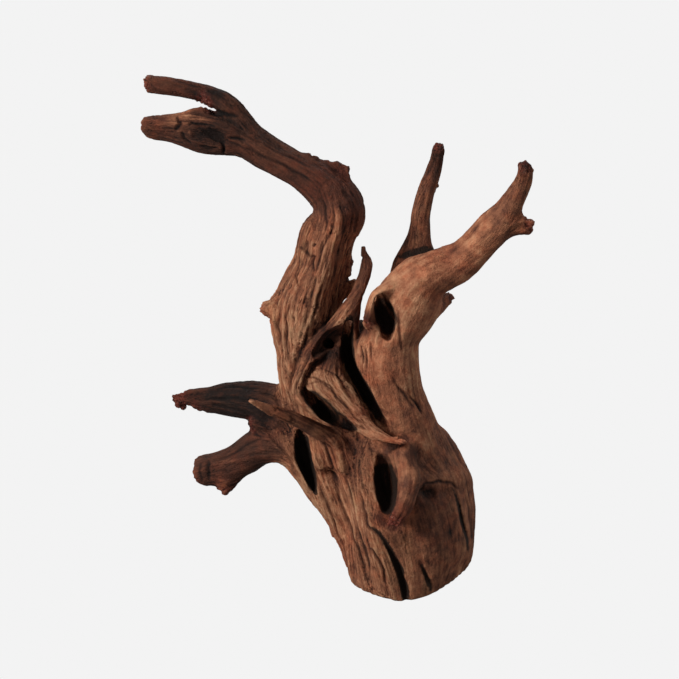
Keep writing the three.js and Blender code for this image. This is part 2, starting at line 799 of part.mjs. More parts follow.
const limbs = [
  limb(TRUNK, {
    sides: 44,
    relief: 1.2,
    turn: 0.7,
    ridges: [[20, 40, 1.5, 12], [240, 260, 3, 14], [300, 320, 3, 12]],
  }),
  limb(CORE, { sides: 20, relief: 0.8 }),
  limb(FORK_WEB, { sides: 8, relief: 0.2 }),
  limb(FOOT_FRONT, { sides: 12, relief: 0.4 }),
  limb(LEFT_ARM, {
    sides: 24,
    relief: 0.8,
    ridges: [[110, 84, 1.6, 20], [200, 215, 1.4, 16], [320, 300, 1.6, 16], [260, 250, 2, 14]],
  }),
  limb(UPPER_PRONG, { sides: 10, relief: 0.3 }),
  limb(LOWER_PRONG, { sides: 14, relief: 0.6, ridges: [[80, 60, 1, 20], [200, 180, 1, 20]] }),
  limb(RIGHT_ARM, {
    sides: 24,
    relief: 0.6,
    ridges: [[250, 260, 1.6, 18]],
  }),
  limb(RIGHT_TIP, { sides: 10, relief: 0.3 }),
  limb(RIGHT_STUB, { sides: 8, relief: 0.3 }),
  limb(TWIG, { sides: 10, relief: 0.3 }),
  limb(HORN, { sides: 10, relief: 0.3 }),
  limb(HORN_ROOT, { sides: 10, relief: 0.3 }),
  limb(EAR, { sides: 8, relief: 0.2 }),
  limb(TONGUE, { sides: 12, relief: 0.3 }),
  limb(FRONT_SPIKE, { sides: 10, relief: 0.3 }),
  limb(UPPER_STUB, { sides: 14, relief: 0.6, ridges: [[90, 100, 1, 20], [270, 250, 1, 20]] }),
  limb(LOWER_STUB, { sides: 14, relief: 0.6, ridges: [[70, 80, 1, 20], [230, 240, 1, 20]] }),
  limb(STUB_KNOB, { sides: 8 }),
  limb(STUB_SPLINTER, { sides: 8 }),
  limb(STUB_CURL, { sides: 8, relief: 0.3 }),
  limb(PRONG_LIP, { sides: 8 }),
  limb(PRONG_LUMP, { sides: 10, relief: 0.3 }),
  limb(SIDE_STRAND, { sides: 8, relief: 0.3 }),
  limb(COLLAR, { sides: 8, relief: 0.2 }),
  limb(BEND_FLAP, { sides: 8, relief: 0.2 }),
  limb(ARM_BUMP, { sides: 8 }),
  limb(ARM_SHELF, { sides: 8 }),
  limb(HOOK, { sides: 12, relief: 0.3 }),
  limb(LEFT_SPUR, { sides: 8, relief: 0.3 }),
  limb(BACK_STUB, { sides: 8, relief: 0.2 }),
  limb(BACK_RIB_LEFT, { sides: 16, relief: 0.8 }),
  limb(BACK_RIB_RIGHT, { sides: 14, relief: 0.8 }),
  limb(BACK_STUMP, { sides: 12, relief: 0.4 }),
];
const hollows = [
  limb(KNOT_HOLE, { sides: 12 }),
  limb(COLUMN_HOLE, { sides: 12 }),
  limb(CAVITY, { sides: 12 }),
  limb(CLEFT, { sides: 10 }),
  limb(RECESS, { sides: 8 }),
  limb(RING_HOLE, { sides: 8 }),
  limb(TWIG_PIT, { sides: 8 }),
  limb(LONG_CRACK, { sides: 6 }),
  limb(SHORT_CRACK, { sides: 6 }),
  limb(RIGHT_CRACK, { sides: 6 }),
  limb(SIDE_SLIT, { sides: 8 }),
  limb(PRONG_PIT, { sides: 8 }),
  limb(LEDGE, { sides: 10 }),
  limb(BACK_CRACK, { sides: 6 }),
  limb(BACK_HOLLOW, { sides: 10 }),
];

const joined = limbs.map(solid).reduce((whole, next) => whole.add(next));
const trimmed = mergeShortEdges(geometryOf(joined), SHORTEST_EDGE);
const weathered = carve(weather(trimmed, 3), STROKES);
const ground = new THREE.BoxGeometry(400, 400, 100).translate(0, 0, -50);
const wood = [...hollows, ground].map(solid).reduce((rest, cut) => rest.subtract(cut),
  solid(weathered));

const driftwood = new THREE.Mesh(
  mergeShortEdges(geometryOf(wood), SHORTEST_EDGE),
  new THREE.MeshStandardMaterial({ color: 0x7a4a34, roughness: 0.85, metalness: 0 }),
);
driftwood.name = 'driftwood';

const part = new THREE.Group();
part.add(driftwood);
export default part;
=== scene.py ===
# %% [markdown]
# # A piece of driftwood, from solid to finished wood
# The real object is the stump of a root that lay in water until only its hard wood was left. It has
# no parts and no joints: one skin runs from the sawn foot to the tips of the broken arms. The solid
# model gives that skin its main shape. This lesson gives it its surface: fibres, cracks, pits,
# splintered ends and the colours of weathered wood.

# %% Load the solid and keep its size
import math

import bpy
import bmesh
import numpy as np
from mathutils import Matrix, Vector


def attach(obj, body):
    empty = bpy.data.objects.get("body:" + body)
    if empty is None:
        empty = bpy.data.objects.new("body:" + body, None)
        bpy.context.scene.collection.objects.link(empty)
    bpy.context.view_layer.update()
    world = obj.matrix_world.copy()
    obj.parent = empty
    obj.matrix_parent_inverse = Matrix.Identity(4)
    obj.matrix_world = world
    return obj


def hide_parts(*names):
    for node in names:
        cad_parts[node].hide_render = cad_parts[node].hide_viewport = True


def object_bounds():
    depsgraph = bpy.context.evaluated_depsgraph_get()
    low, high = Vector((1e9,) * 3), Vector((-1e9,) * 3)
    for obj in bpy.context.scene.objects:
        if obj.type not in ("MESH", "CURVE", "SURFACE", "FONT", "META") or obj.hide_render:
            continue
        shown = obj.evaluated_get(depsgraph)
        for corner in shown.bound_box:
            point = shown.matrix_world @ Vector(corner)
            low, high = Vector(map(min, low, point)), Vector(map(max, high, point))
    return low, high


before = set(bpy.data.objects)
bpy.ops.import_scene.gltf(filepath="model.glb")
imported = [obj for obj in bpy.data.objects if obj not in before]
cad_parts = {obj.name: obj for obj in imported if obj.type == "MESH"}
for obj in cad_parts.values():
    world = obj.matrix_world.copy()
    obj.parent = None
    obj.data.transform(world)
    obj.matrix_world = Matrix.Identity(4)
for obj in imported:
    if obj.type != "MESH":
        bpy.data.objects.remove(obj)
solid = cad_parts["driftwood"]


def plain(box):
    """A box as two plain lists of numbers."""
    return [[float(v) for v in corner] for corner in box]


solid_box = plain(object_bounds())
scene = bpy.context.scene
print("solid box in metres:", solid_box)

# %% [markdown]
# ## The viewpoint
# The wood was measured from one viewpoint, 1.2 m away and 20 degrees above the horizon. The camera
# stands there. Its lens is chosen so that one millimetre at the wood is two pixels of a picture 679
# pixels wide. The helper `seen` turns "so far right, so far up, so far back" into a place, and
# `seen_at` turns a place back into what the viewpoint sees. All lengths below are millimetres until
# the mesh is written.

# %% Viewpoint and camera
EYE_DISTANCE = 1200.0
EYE_ELEVATION = math.radians(20)
LOOKED_AT = np.array([-37.3, 0.0, 130.2])
VIEW_WIDTH = 339.5
SENSOR = 36.0

TOWARDS_EYE = np.array([0.0, -math.cos(EYE_ELEVATION), math.sin(EYE_ELEVATION)])
VIEW_UP = np.array([0.0, math.sin(EYE_ELEVATION), math.cos(EYE_ELEVATION)])
EYE = LOOKED_AT + EYE_DISTANCE * TOWARDS_EYE


def seen(right, up, back):
    """The place seen `right` and `up` of the point looked at, on the plane `back` behind it:
    the sight line through that point of the view, cut where its y is `back`."""
    aim = LOOKED_AT + up * VIEW_UP + np.array([right, 0.0, 0.0])
    share = (back - EYE[1]) / (aim[1] - EYE[1])
    return EYE + share * (aim - EYE)


def seen_at(points):
    """How far right and up each point is seen: its offset from the eye, divided by its distance
    along the line of sight and multiplied by the distance of the point looked at."""
    offset = points - EYE
    away = -(offset @ TOWARDS_EYE)
    return np.stack([offset[:, 0], offset @ VIEW_UP], axis=1) * (EYE_DISTANCE / away)[:, None]


camera_data = bpy.data.cameras.new("view")
camera_data.sensor_width = SENSOR
camera_data.lens = SENSOR * EYE_DISTANCE / VIEW_WIDTH
camera = bpy.data.objects.new("view", camera_data)
camera.location = EYE / 1000
camera.rotation_euler = (math.pi / 2 - EYE_ELEVATION, 0, 0)
scene.collection.objects.link(camera)
scene.camera = camera
print("lens in mm:", round(camera_data.lens, 1))

# %% [markdown]
# ## A skin fine enough to carve
# The solid has facets about four millimetres wide. Wood fibres are finer than that, so the piece
# starts as a merged copy of the solid, is rounded by subdivision, and is then rebuilt from small
# cubes of equal size (voxels). A grid of two parameters can't follow a body that forks ten times,
# which is why this piece is made from the solid and then shaped as whole arrays.

# %% Copy, round and rebuild the skin
VOXEL = 0.0006
TINY = 1e-6
ROUNDINGS = 2


def apply_modifiers(piece):
    """Replaces the mesh of a piece by what its modifiers make of it."""
    graph = bpy.context.evaluated_depsgraph_get()
    made = bpy.data.meshes.new_from_object(piece.evaluated_get(graph))
    piece.modifiers.clear()
    piece.data = made
    return piece


def merged_copy(source, name):
    """A copy of a mesh object whose loose triangles are joined at their shared corners."""
    mesh = bpy.data.meshes.new(name)
    work = bmesh.new()
    work.from_mesh(source.data)
    bmesh.ops.remove_doubles(work, verts=work.verts, dist=TINY)
    work.to_mesh(mesh)
    work.free()
    piece = bpy.data.objects.new(name, mesh)
    scene.collection.objects.link(piece)
    return piece


wood = merged_copy(solid, "weathered_wood")
rounder = wood.modifiers.new("round", "SUBSURF")
rounder.levels = rounder.render_levels = ROUNDINGS
apply_modifiers(wood)
print("corners of the rounded skin:", len(wood.data.vertices))

# %% [markdown]
# Where the wood broke, thin pieces stand off it: the teeth of the flap on the bend, the shreds
# under the upper prong, the jaws of the upper stub, flakes on the trunk's left edge and the point
# of the front spike. Each is a small tapered block that starts inside the wood. Rebuilding the skin
# from voxels joins them to it.

# %% Splinters, and the fine skin
# Each splinter: its two ends (right, up, back), half its width at each, and half its depth.
SPLINTERS = [
    ((-21, 92.6, 15), (-14.5, 92.1, 13), 1.4, 1.0, 2.0),
    ((-14, 90.0, 12.8), (-10.4, 90.2, 12.4), 1.6, 1.5, 2.0),
    ((-10.4, 87.8, 12), (-5.3, 88.1, 11.4), 1.7, 1.6, 2.0),
    ((-5.4, 86.8, 10.8), (-0.2, 86.9, 9.8), 1.8, 1.9, 2.0),
    ((-0.4, 84.6, 9.4), (4.9, 84.4, 8.4), 2.3, 2.5, 1.9),
    ((4.3, 82.6, 8), (5.6, 79.6, 7.6), 1.1, 0.8, 1.2),
    ((-70, 121.5, 30), (-70.6, 119.4, 30), 1.0, 0.7, 1.2),
    ((-66.6, 120, 29), (-66.2, 117.4, 29), 1.0, 0.6, 1.2),
    ((-63, 119, 28), (-63.4, 116.2, 28), 1.0, 0.6, 1.2),
    ((-79.8, -28.2, 35), (-83.4, -29.4, 36.4), 1.7, 1.2, 1.6),
    ((-80.6, -29.8, 35), (-80.8, -34.4, 35), 1.0, 0.8, 1.0),
    ((-78.2, -30.6, 34.5), (-78, -34.3, 34.5), 1.1, 0.6, 1.0),
    ((91.6, 85, -22), (91.2, 89.2, -22), 1.3, 0.9, 1.2),
    ((94, 85.4, -22), (94.4, 88.6, -22), 1.2, 0.8, 1.2),
    ((47.2, 76.4, 19), (50.0, 76.9, 19), 1.1, 0.8, 1.1),
    ((0, -100, 0), (2, -106, 0), 1.2, 1.1, 1.6), ((2.2, -107, 0), (4.4, -113.5, 0), 1.3, 1.1, 1.6),
    ((-4.4, -92, 1), (-2.6, -98, 1), 1.2, 1.0, 1.6),
    ((29, -90, -39), (24.4, -93.4, -40.6), 0.9, 0.6, 0.8),
    ((12.4, 42, -2), (11.8, 46.6, -2), 1.7, 1.0, 1.3),
    ((27, -50.2, -31.5), (33.6, -51.6, -34.8), 0.9, 0.6, 0.9),
    ((24, -49.4, -29.6), (29.4, -49.2, -32), 0.9, 0.6, 0.8),
    ((-33, -35.7, -25.5), (-45, -30.4, -30), 3.0, 1.0, 1.6),
]


def unit(arrows):
    """Arrows of length 1."""
    return arrows / (np.linalg.norm(arrows, axis=1, keepdims=True) + TINY)


def block_corners(start, end, wide_start, wide_end, deep):
    """The corners of a tapered block: at each end, the end's place plus or minus half the width
    across the view and half the depth towards the viewpoint."""
    ends = np.array([seen(*start), seen(*end)])
    along = unit(ends[1:] - ends[:1])
    side = unit(np.cross(along, TOWARDS_EYE))
    signs = np.array([(-1, -1), (1, -1), (1, 1), (-1, 1)], float)
    wide = np.array([wide_start, wide_end])[:, None, None] * signs[None, :, :1] * side
    return (ends[:, None] + wide + deep * signs[None, :, 1:] * np.cross(side, along)).reshape(8, 3)


BLOCK_FACES = [(0, 1, 2, 3), (7, 6, 5, 4), (0, 4, 5, 1), (1, 5, 6, 2), (2, 6, 7, 3), (3, 7, 4, 0)]
work = bmesh.new()
work.from_mesh(wood.data)
for shape in SPLINTERS:
    corners = [work.verts.new(corner / 1000) for corner in block_corners(*shape)]
    faces = [work.faces.new([corners[k] for k in face]) for face in BLOCK_FACES]
    bmesh.ops.recalc_face_normals(work, faces=faces)
work.to_mesh(wood.data)
work.free()
rebuild = wood.modifiers.new("rebuild", "REMESH")
rebuild.mode = "VOXEL"
rebuild.voxel_size = VOXEL
apply_modifiers(wood)
print("corners of the fine skin:", len(wood.data.vertices))

# %% [markdown]
# ## Arrays of the skin
# Everything that follows works on whole arrays. These helpers read the corners, the outward
# direction at each corner, and which corners are neighbours, sorted so that an average over
# neighbours is one call.

# %% Arrays and averages over neighbours


def corners_of(mesh):
    """The corners of a mesh as an array, in millimetres."""
    flat = np.empty(len(mesh.vertices) * 3, np.float32)
    mesh.vertices.foreach_get("co", flat)
    return flat.reshape(-1, 3) * 1000


def outward_of(mesh):
    """The direction that the skin faces at each corner."""
    flat = np.empty(len(mesh.vertices) * 3, np.float32)
    mesh.vertex_normals.foreach_get("vector", flat)
    return flat.reshape(-1, 3)


def neighbours_of(mesh):
    """Neighbour numbers sorted by corner, and where each corner's neighbours start."""
    ends = np.empty(len(mesh.edges) * 2, np.int32)
    mesh.edges.foreach_get("vertices", ends)
    ends = ends.reshape(-1, 2)
    both = np.concatenate([ends, ends[:, ::-1]])
    both = both[np.argsort(both[:, 0], kind="stable")]
    count = np.bincount(both[:, 0], minlength=len(mesh.vertices))
    starts = np.concatenate([[0], np.cumsum(count)[:-1]])
    return both[:, 1], starts, count


def averaged(values, near, rounds):
    """Each value drawn halfway to the mean of its neighbours, `rounds` times."""
    others, starts, count = near
    share = (0.5 / count).astype(np.float32)
    share = share[:, None] if values.ndim > 1 else share
    for _ in range(rounds):
        values = 0.5 * values + share * np.add.reduceat(values[others], starts, axis=0)
    return values


def put_corners(mesh, points):
    """Writes corners given in millimetres back into a mesh."""
    mesh.vertices.foreach_set("co", (points / 1000).astype(np.float32).ravel())
    mesh.update()


def ramp(values, low, high):
    """0 below `low`, 1 above `high`, and a smooth rise between."""
    t = np.clip((values - low) / (high - low), 0, 1)
    return t * t * (3 - 2 * t)


points = corners_of(wood.data)
near = neighbours_of(wood.data)
points = averaged(points, near, 2)
put_corners(wood.data, points)
outward = outward_of(wood.data)
print("mean number of neighbours:", round(float(near[2].mean()), 2))

# %% [markdown]
# ## The way the grain runs
# Wood splits and weathers along its fibres, so every pattern has to know which way they run. Each
# limb is drawn as a line of stations, `(right, up, back, thickness, tone, coarseness)`. A corner
# takes the direction of the limbs around it, each weighted by how deep the corner lies inside that
# limb, so the grain turns smoothly where a limb leaves the trunk. The tone says how pale the wood
# is there: 0 is nearly black, 1 chestnut, 2 tan, 3 bleached. The coarseness says how deeply it is
# weathered: the left arm is all fibres and pits, the right arm is worn smooth.

# %% Limb lines and grain direction
LIMBS = {
    "left_arm": [
        (24, -140, 0, 24, 1.75, 0.45), (13, -104, 0, 24, 1.9, 0.5), (1, -72, 2, 22, 1.95, 0.55),
        (-9, -45, 6, 20, 1.8, 0.6), (-14, -15, 9, 17, 2.3, 0.8), (-15.5, 12, 9, 17, 2.5, 0.85),
        (-11, 30, 7, 16, 1.75, 0.9), (-4, 54, 5, 14, 1.5, 0.6), (-3, 70, 7, 13, 0.8, 0.4),
        (-14, 80, 12, 10, 0.6, 0.35), (-31, 89.5, 18, 8.5, 0.62, 0.35),
        (-50, 101, 23, 9, 0.65, 0.45), (-70, 104, 27, 10, 0.5, 0.8),
        (-82, 105, 30, 8, 0.85, 0.45), (-97, 106.5, 34, 4, 0.75, 0.35),
    ],
    "right_arm": [
        (50, -140, 0, 24, 1.45, 0.15), (54, -105, 0, 25, 1.45, 0.15), (50, -78, 0, 24, 1.5, 0.15),
        (40, -56, -1, 20, 1.55, 0.15), (31, -34, -4, 15, 1.8, 0.2), (25, -8, -4, 16, 1.95, 0.25),
        (30, 12, -5, 17, 2.05, 0.12), (39, 28, -7, 15, 2.1, 0.1), (53, 36.5, -9, 11, 2.0, 0.1),
        (70, 47, -14, 9, 1.9, 0.12), (84, 63, -18, 8, 1.6, 0.15), (92, 88, -22, 3, 0.9, 0.4),
    ],
    "upper_prong": [
        (-40, 94, 20, 8, 0.65, 0.4), (-51, 111, 24, 7, 0.5, 0.4), (-66, 123, 30, 5, 0.4, 0.3),
        (-97, 128.5, 37, 4, 0.7, 0.4),
    ],
    "right_stub": [
        (78, 57, -17, 7, 1.8, 0.2), (90, 57.5, -19, 6, 1.5, 0.3), (98, 56, -20, 3, 1.0, 0.6),
    ],
    "twig": [
        (38, 30, 10, 12, 1.4, 0.2), (40, 50, 16, 7, 1.15, 0.25), (41, 64, 17, 5, 1.15, 0.25),
        (46, 81, 19, 4, 0.9, 0.3), (50, 98, 20, 3, 0.2, 0.5),
    ],
    "horn": [
        (-14, -8, -7, 6, 0.6, 0.5), (1, 9.5, -9, 5.5, 1.2, 0.5), (9, 22.5, -6, 4.3, 0.9, 0.5),
        (13.7, 36, -3, 3, 0.7, 0.5), (11.8, 47, -2, 1.2, 0.2, 0.3),
    ],
    "tongue": [
        (-3.5, -8, -4, 5, 0.5, 0.4), (-3.5, -14, -8, 7, 1.3, 0.6), (-6, -23, -13, 11, 2.3, 0.65),
        (5, -35.5, -18, 7, 2.4, 0.65), (18.5, -46.5, -27, 3, 2.2, 0.5),
        (34, -53, -34, 1.9, 1.4, 0.4),
    ],
    "curl": [
        (-7, 0, -8, 3, 0.6, 0.4), (-17.3, -13, -10, 3.2, 1.3, 0.4), (-21.5, -26, -14, 3, 1.7, 0.4),
        (-13, -36, -17.5, 2.6, 1.5, 0.4), (-1, -45, -20, 1.4, 1.4, 0.3),
    ],
    "front_spike": [
        (0, -52, -8, 5, 1.2, 0.4), (-14, -44, -17, 4.4, 0.9, 0.4),
        (-30, -36.5, -24, 3.3, 1.1, 0.35), (-45, -29, -30, 1, 1.45, 0.3),
    ],
    "upper_stub": [
        (0, -46, 9, 12, 0.3, 0.35), (-34, -33, 15, 10.5, 0.0, 0.3), (-56, -30, 24, 8.5, 0.05, 0.35),
        (-82, -30, 36, 3, 0.35, 0.5),
    ],
    "lower_stub": [
        (14, -88, 4, 13, 1.2, 0.4), (-2, -74, 5, 13, 0.9, 0.4), (-17, -57, 7, 11.5, 0.3, 0.25),
        (-40, -53.5, 13, 10.5, 0.3, 0.22), (-72, -65.5, 24, 7, 0.75, 0.3),
    ],
    "side_strand": [
        (-34, -54, 8, 6, 0.9, 0.5), (-24, -63, 4, 5, 2.0, 0.6), (-15, -77, 2, 5, 2.2, 0.6),
        (8, -116, 0, 6, 1.7, 0.6),
    ],
    "hook": [
        (31, -54, -20, 8, 1.2, 0.15), (34.5, -68, -31, 6.4, 1.45, 0.15),
        (34, -77.5, -34.5, 5.8, 1.25, 0.2), (27, -94, -37, 4, 0.6, 0.3),
    ],
    "back_stump": [(24, -86, 16, 10, 1.4, 0.6), (11, -79.5, 45, 4, 1.0, 0.8)],
}


def transported(ways):
    """A direction across the line at each station, turned no more than the line itself turns:
    each is the one before, less its part along the line there."""
    across = [np.cross(ways[0], (0.3, 0.2, 0.9))]
    for way in ways[1:]:
        across.append(across[-1] - (across[-1] @ way) * way)
    return unit(np.array(across))


def near_limb(points, stations):
    """For each point: its distance from the limb's line over the limb's thickness, the limb's
    direction, tone and coarseness there, and the point's lie: how far it is off the line in two
    directions across it, and how far along. Each stretch between two stations is straight, and
    its direction turns evenly from the mean direction at one station to that at the next."""
    places = np.array([seen(*s[:3]) for s in stations])
    girth, *looks = np.array([s[3:] for s in stations], float).T
    turning = unit(np.gradient(places, axis=0))
    first = transported(turning)
    second = np.cross(turning, first)
    walked = np.concatenate([[0], np.cumsum(np.linalg.norm(np.diff(places, axis=0), axis=1))])
    best = np.full(len(points), np.inf, np.float32)
    found = np.zeros((len(points), 8), np.float32)
    for k in range(len(stations) - 1):
        step = places[k + 1] - places[k]
        share = np.clip((points - places[k]) @ step / (step @ step), 0, 1)
        off = points - places[k] - share[:, None] * step
        ratio = np.linalg.norm(off, axis=1) / (girth[k] + (girth[k + 1] - girth[k]) * share)
        pick = np.nonzero(ratio < best)[0]
        best[pick], share, off = ratio[pick], share[pick], off[pick]

        def between(values):
            """The values of this stretch's two stations, blended by how far along it we are."""
            change = np.multiply.outer(share, values[k + 1] - values[k])
            return values[k] + change

        found[pick, :3] = between(turning)
        found[pick, 3], found[pick, 4] = between(looks[0]), between(looks[1])
        found[pick, 5] = (off * between(first)).sum(1)
        found[pick, 6] = (off * between(second)).sum(1)
        found[pick, 7] = between(walked)
    return best, found


def limb_fields(points):
    """Direction, tone and coarseness as means over the limbs, each limb's weight falling with the
    sixth power of its distance ratio, and the lie in the strongest limb."""
    total = np.zeros(len(points), np.float32)
    mean = np.zeros((len(points), 5), np.float32)
    lie = np.zeros((len(points), 3), np.float32)
    strongest = np.zeros(len(points), np.float32)
    for number, stations in enumerate(LIMBS.values()):
        ratio, found = near_limb(points, stations)
        weight = 1 / (ratio + 0.1) ** 6
        total += weight
        mean += weight[:, None] * found[:, :5]
        ahead = weight > strongest
        strongest[ahead] = weight[ahead]
        lie[ahead] = found[ahead, 5:] + 37.0 * number
    return mean / total[:, None], lie


mean, lie = limb_fields(points)
grain, tone_and_painted_light, coarse = mean[:, :3], averaged(mean[:, 3], near, 6), mean[:, 4]
grain -= (grain * outward).sum(1, keepdims=True) * outward * 0.9
grain = averaged(unit(grain), near, 8)
steady = ramp(np.linalg.norm(grain, axis=1), 0.85, 0.99)
grain = unit(grain)
coarse = averaged(coarse, near, 6) * (0.3 + 0.7 * steady)
print("limbs:", ", ".join(LIMBS))

# %% [markdown]
# ## Noise, and fibres made from it
# `noise` gives smooth random values in space: random numbers on a cubic lattice, blended between
# the eight nearest. To turn noise into fibres, `fibres` walks from each corner along the grain in
# both directions and averages the noise it meets. Values then change slowly along the grain and
# quickly across it, as in wood, and they flow round every fork without a seam.

# %% Noise and fibres
LATTICE = 64


def noise(points, cell, seed):
    """Random values from -1 to 1 that change over `cell` millimetres."""
    table = np.random.default_rng(seed).uniform(-1, 1, (LATTICE,) * 3).astype(np.float32)
    place = points / cell + 1000
    low = np.floor(place)
    part = (place - low).astype(np.float32)
    part = part * part * (3 - 2 * part)
    low = low.astype(np.int64) % LATTICE
    high = (low + 1) % LATTICE
    total = np.zeros(len(points), np.float32)
    for corner in range(8):
        pick = [(corner >> axis) & 1 for axis in range(3)]
        index = [high[:, axis] if p else low[:, axis] for axis, p in enumerate(pick)]
        weight = np.ones(len(points), np.float32)
        for axis, p in enumerate(pick):
            weight *= part[:, axis] if p else 1 - part[:, axis]
        total += weight * table[index[0], index[1], index[2]]
    return total


def even(values):
    """Values shifted and scaled to mean 0 and spread 1."""
    return (values - values.mean()) / (values.std() + 1e-9)


def lumps(points, cell, seed, octaves=3):
    """Noise with finer noise on it, each octave half the size and half the height."""
    return even(sum(noise(points, cell / 2**k, seed + k) / 2**k for k in range(octaves)))


def bend_of(grain, near, points):
    """How fast the grain turns along itself: the change of its direction towards a neighbour,
    for each millimetre walked along the grain, averaged over the neighbours."""
    others, starts, count = near
    here = np.repeat(np.arange(len(points)), count)
    walked = ((points[others] - points[here]) * grain[here]).sum(1)
    change = (grain[others] - grain[here]) * walked[:, None]
    bend = np.add.reduceat(change, starts, axis=0)
    return averaged(bend / (np.add.reduceat(walked**2, starts)[:, None] + 1e-3), near, 12)


def fibres(points, grain, bend, cell, reach, seed):
    """The mean of noise along the grain: at distance s from the corner the walk stands at
    point + s * grain + s^2 / 2 * bend, for s from -reach to reach, and far steps count less."""
    steps = max(3, int(round(reach / cell)))
    total = np.zeros(len(points), np.float32)
    for k in range(-steps, steps + 1):
        s = reach * k / steps
        weight = 0.5 + 0.5 * math.cos(math.pi * k / (steps + 1))
        total += weight * noise(points + s * grain + 0.5 * s * s * bend, cell, seed)
    return even(total)


SHARPEST_BEND = 0.06
bend = np.clip(bend_of(grain, near, points), -SHARPEST_BEND, SHARPEST_BEND)
ridges = fibres(points, grain, bend, 4.0, 36, 11)
strands = fibres(points, grain, bend, 2.0, 18, 23)
threads = fibres(points, grain, bend, 1.0, 9, 37)
flecks = fibres(points, grain, bend, 1.5, 4, 41)
print("spread of the strands:", round(float(strands.std()), 2))

# %% [markdown]
# ## Holes, marks, stains, broken ends and red places
# Five things stand out from the even run of fibres, and each is listed where it is seen. The knot
# holes, clefts and cracks are painted nearly black inside: painted shade where no light reaches,
# over wood that is rotten. The marks are single cracks, painted darker inside as painted shade, and
# strands that stand up. The stains are patches paler or darker than the wood round them; a few of
# them are painted shade and painted highlights, marked in the table. The broken ends have lost
# their skin: the wood there is red, splintered and rough. The red places have kept their skin and
# only take a red tint.

# %% Where the holes, marks, stains, broken ends and red places are
# Inside these lines the wood is painted nearly black: painted shade where no light reaches, over
# rotten wood.
# Each hole: (right, up, back, half its width as seen, half its depth) along its line.
HOLES = {
    "knot_hole": [(21.4, -62.6, -32, 2.9, 12), (22, -65.2, -30, 5, 16), (23, -71.5, -29, 5.6, 20),
                  (23.8, -78, -30, 5.2, 18), (24.1, -83.5, -33, 3.8, 12),
                  (24.2, -87.6, -37, 1.6, 5)],
    "column_hole": [(19.9, 20.9, -20, 1.5, 12), (20.7, 19.2, -20, 3.4, 14),
                    (22.1, 15, -18, 4.7, 16), (23.5, 10, -18, 5, 16), (24, 5.6, -20, 3.5, 12),
                    (24.2, 3, -23, 1.5, 6)],
    "cavity": [(-17.5, -26.6, -16, 1.8, 5), (-13.8, -29.6, -13, 4, 14), (-9, -34, -11, 5.2, 18),
               (-4, -38.2, -12, 4.4, 18), (1.6, -41.6, -17, 3.5, 14), (6.8, -44.6, -23, 2, 8)],
    "cleft": [(5, 10, -9, 2, 9), (3.8, 3, -9, 3, 13), (3.6, -6, -9, 3.4, 16),
              (5.4, -14, -10, 3.3, 17), (10, -22, -12, 3.2, 17), (14.5, -30, -15, 3.2, 16),
              (18.5, -37.5, -19, 3.1, 13), (23, -43, -24, 2, 8), (28, -47, -29, 0.8, 3)],
    "ring_hole": [(-6.5, -1, -8, 2, 3), (-5, -2.5, 0, 3.2, 3.5), (-4, -4, 8, 3, 3.5)],
    "twig_pit": [(28.5, 41.3, 2, 1.0, 10), (35.9, 43, 3, 2.2, 13), (42.6, 44.3, 3, 2.8, 13),
                 (49.3, 45.1, 1, 1.6, 11)],
    "long_crack": [(8, -82, -37, 0.4, 3), (14, -92.5, -36, 0.9, 6), (20, -97, -36, 1.1, 7),
                   (25, -105, -36, 1.5, 8), (30, -115.5, -34.5, 2.1, 8),
                   (32.6, -125, -33, 2.1, 7), (33.4, -132, -34, 1.9, 5),
                   (34, -138, -37, 1.1, 2.5)],
    "short_crack": [(39, -108, -37, 0.4, 3), (41.5, -114, -34, 0.9, 6), (44.5, -121, -31, 1.3, 7),
                    (46.5, -127, -31, 1.2, 5), (47.5, -132, -32, 0.7, 2)],
    "right_crack": [(56.5, -74, -19, 0.5, 3), (59.4, -82, -18, 0.8, 6), (61.4, -92, -17, 0.9, 7),
                    (64, -100, -14, 1.0, 7), (65.3, -112, -10, 0.5, 3)],
    "side_slit": [(-20, -46, -4, 1.6, 6), (-18.8, -51, -4, 3.8, 9), (-17.8, -58, -4, 4.2, 10),
                  (-16.3, -63.5, -4, 3.8, 10), (-14.2, -70, -4, 2.6, 8), (-11.8, -77, -5, 1, 4)],
    "back_crack": [(36, -66, 30, 0.5, 3), (39, -82, 34, 1.4, 6), (44, -98, 33, 1.8, 7),
                   (47, -128, 30, 2.2, 7)],
}

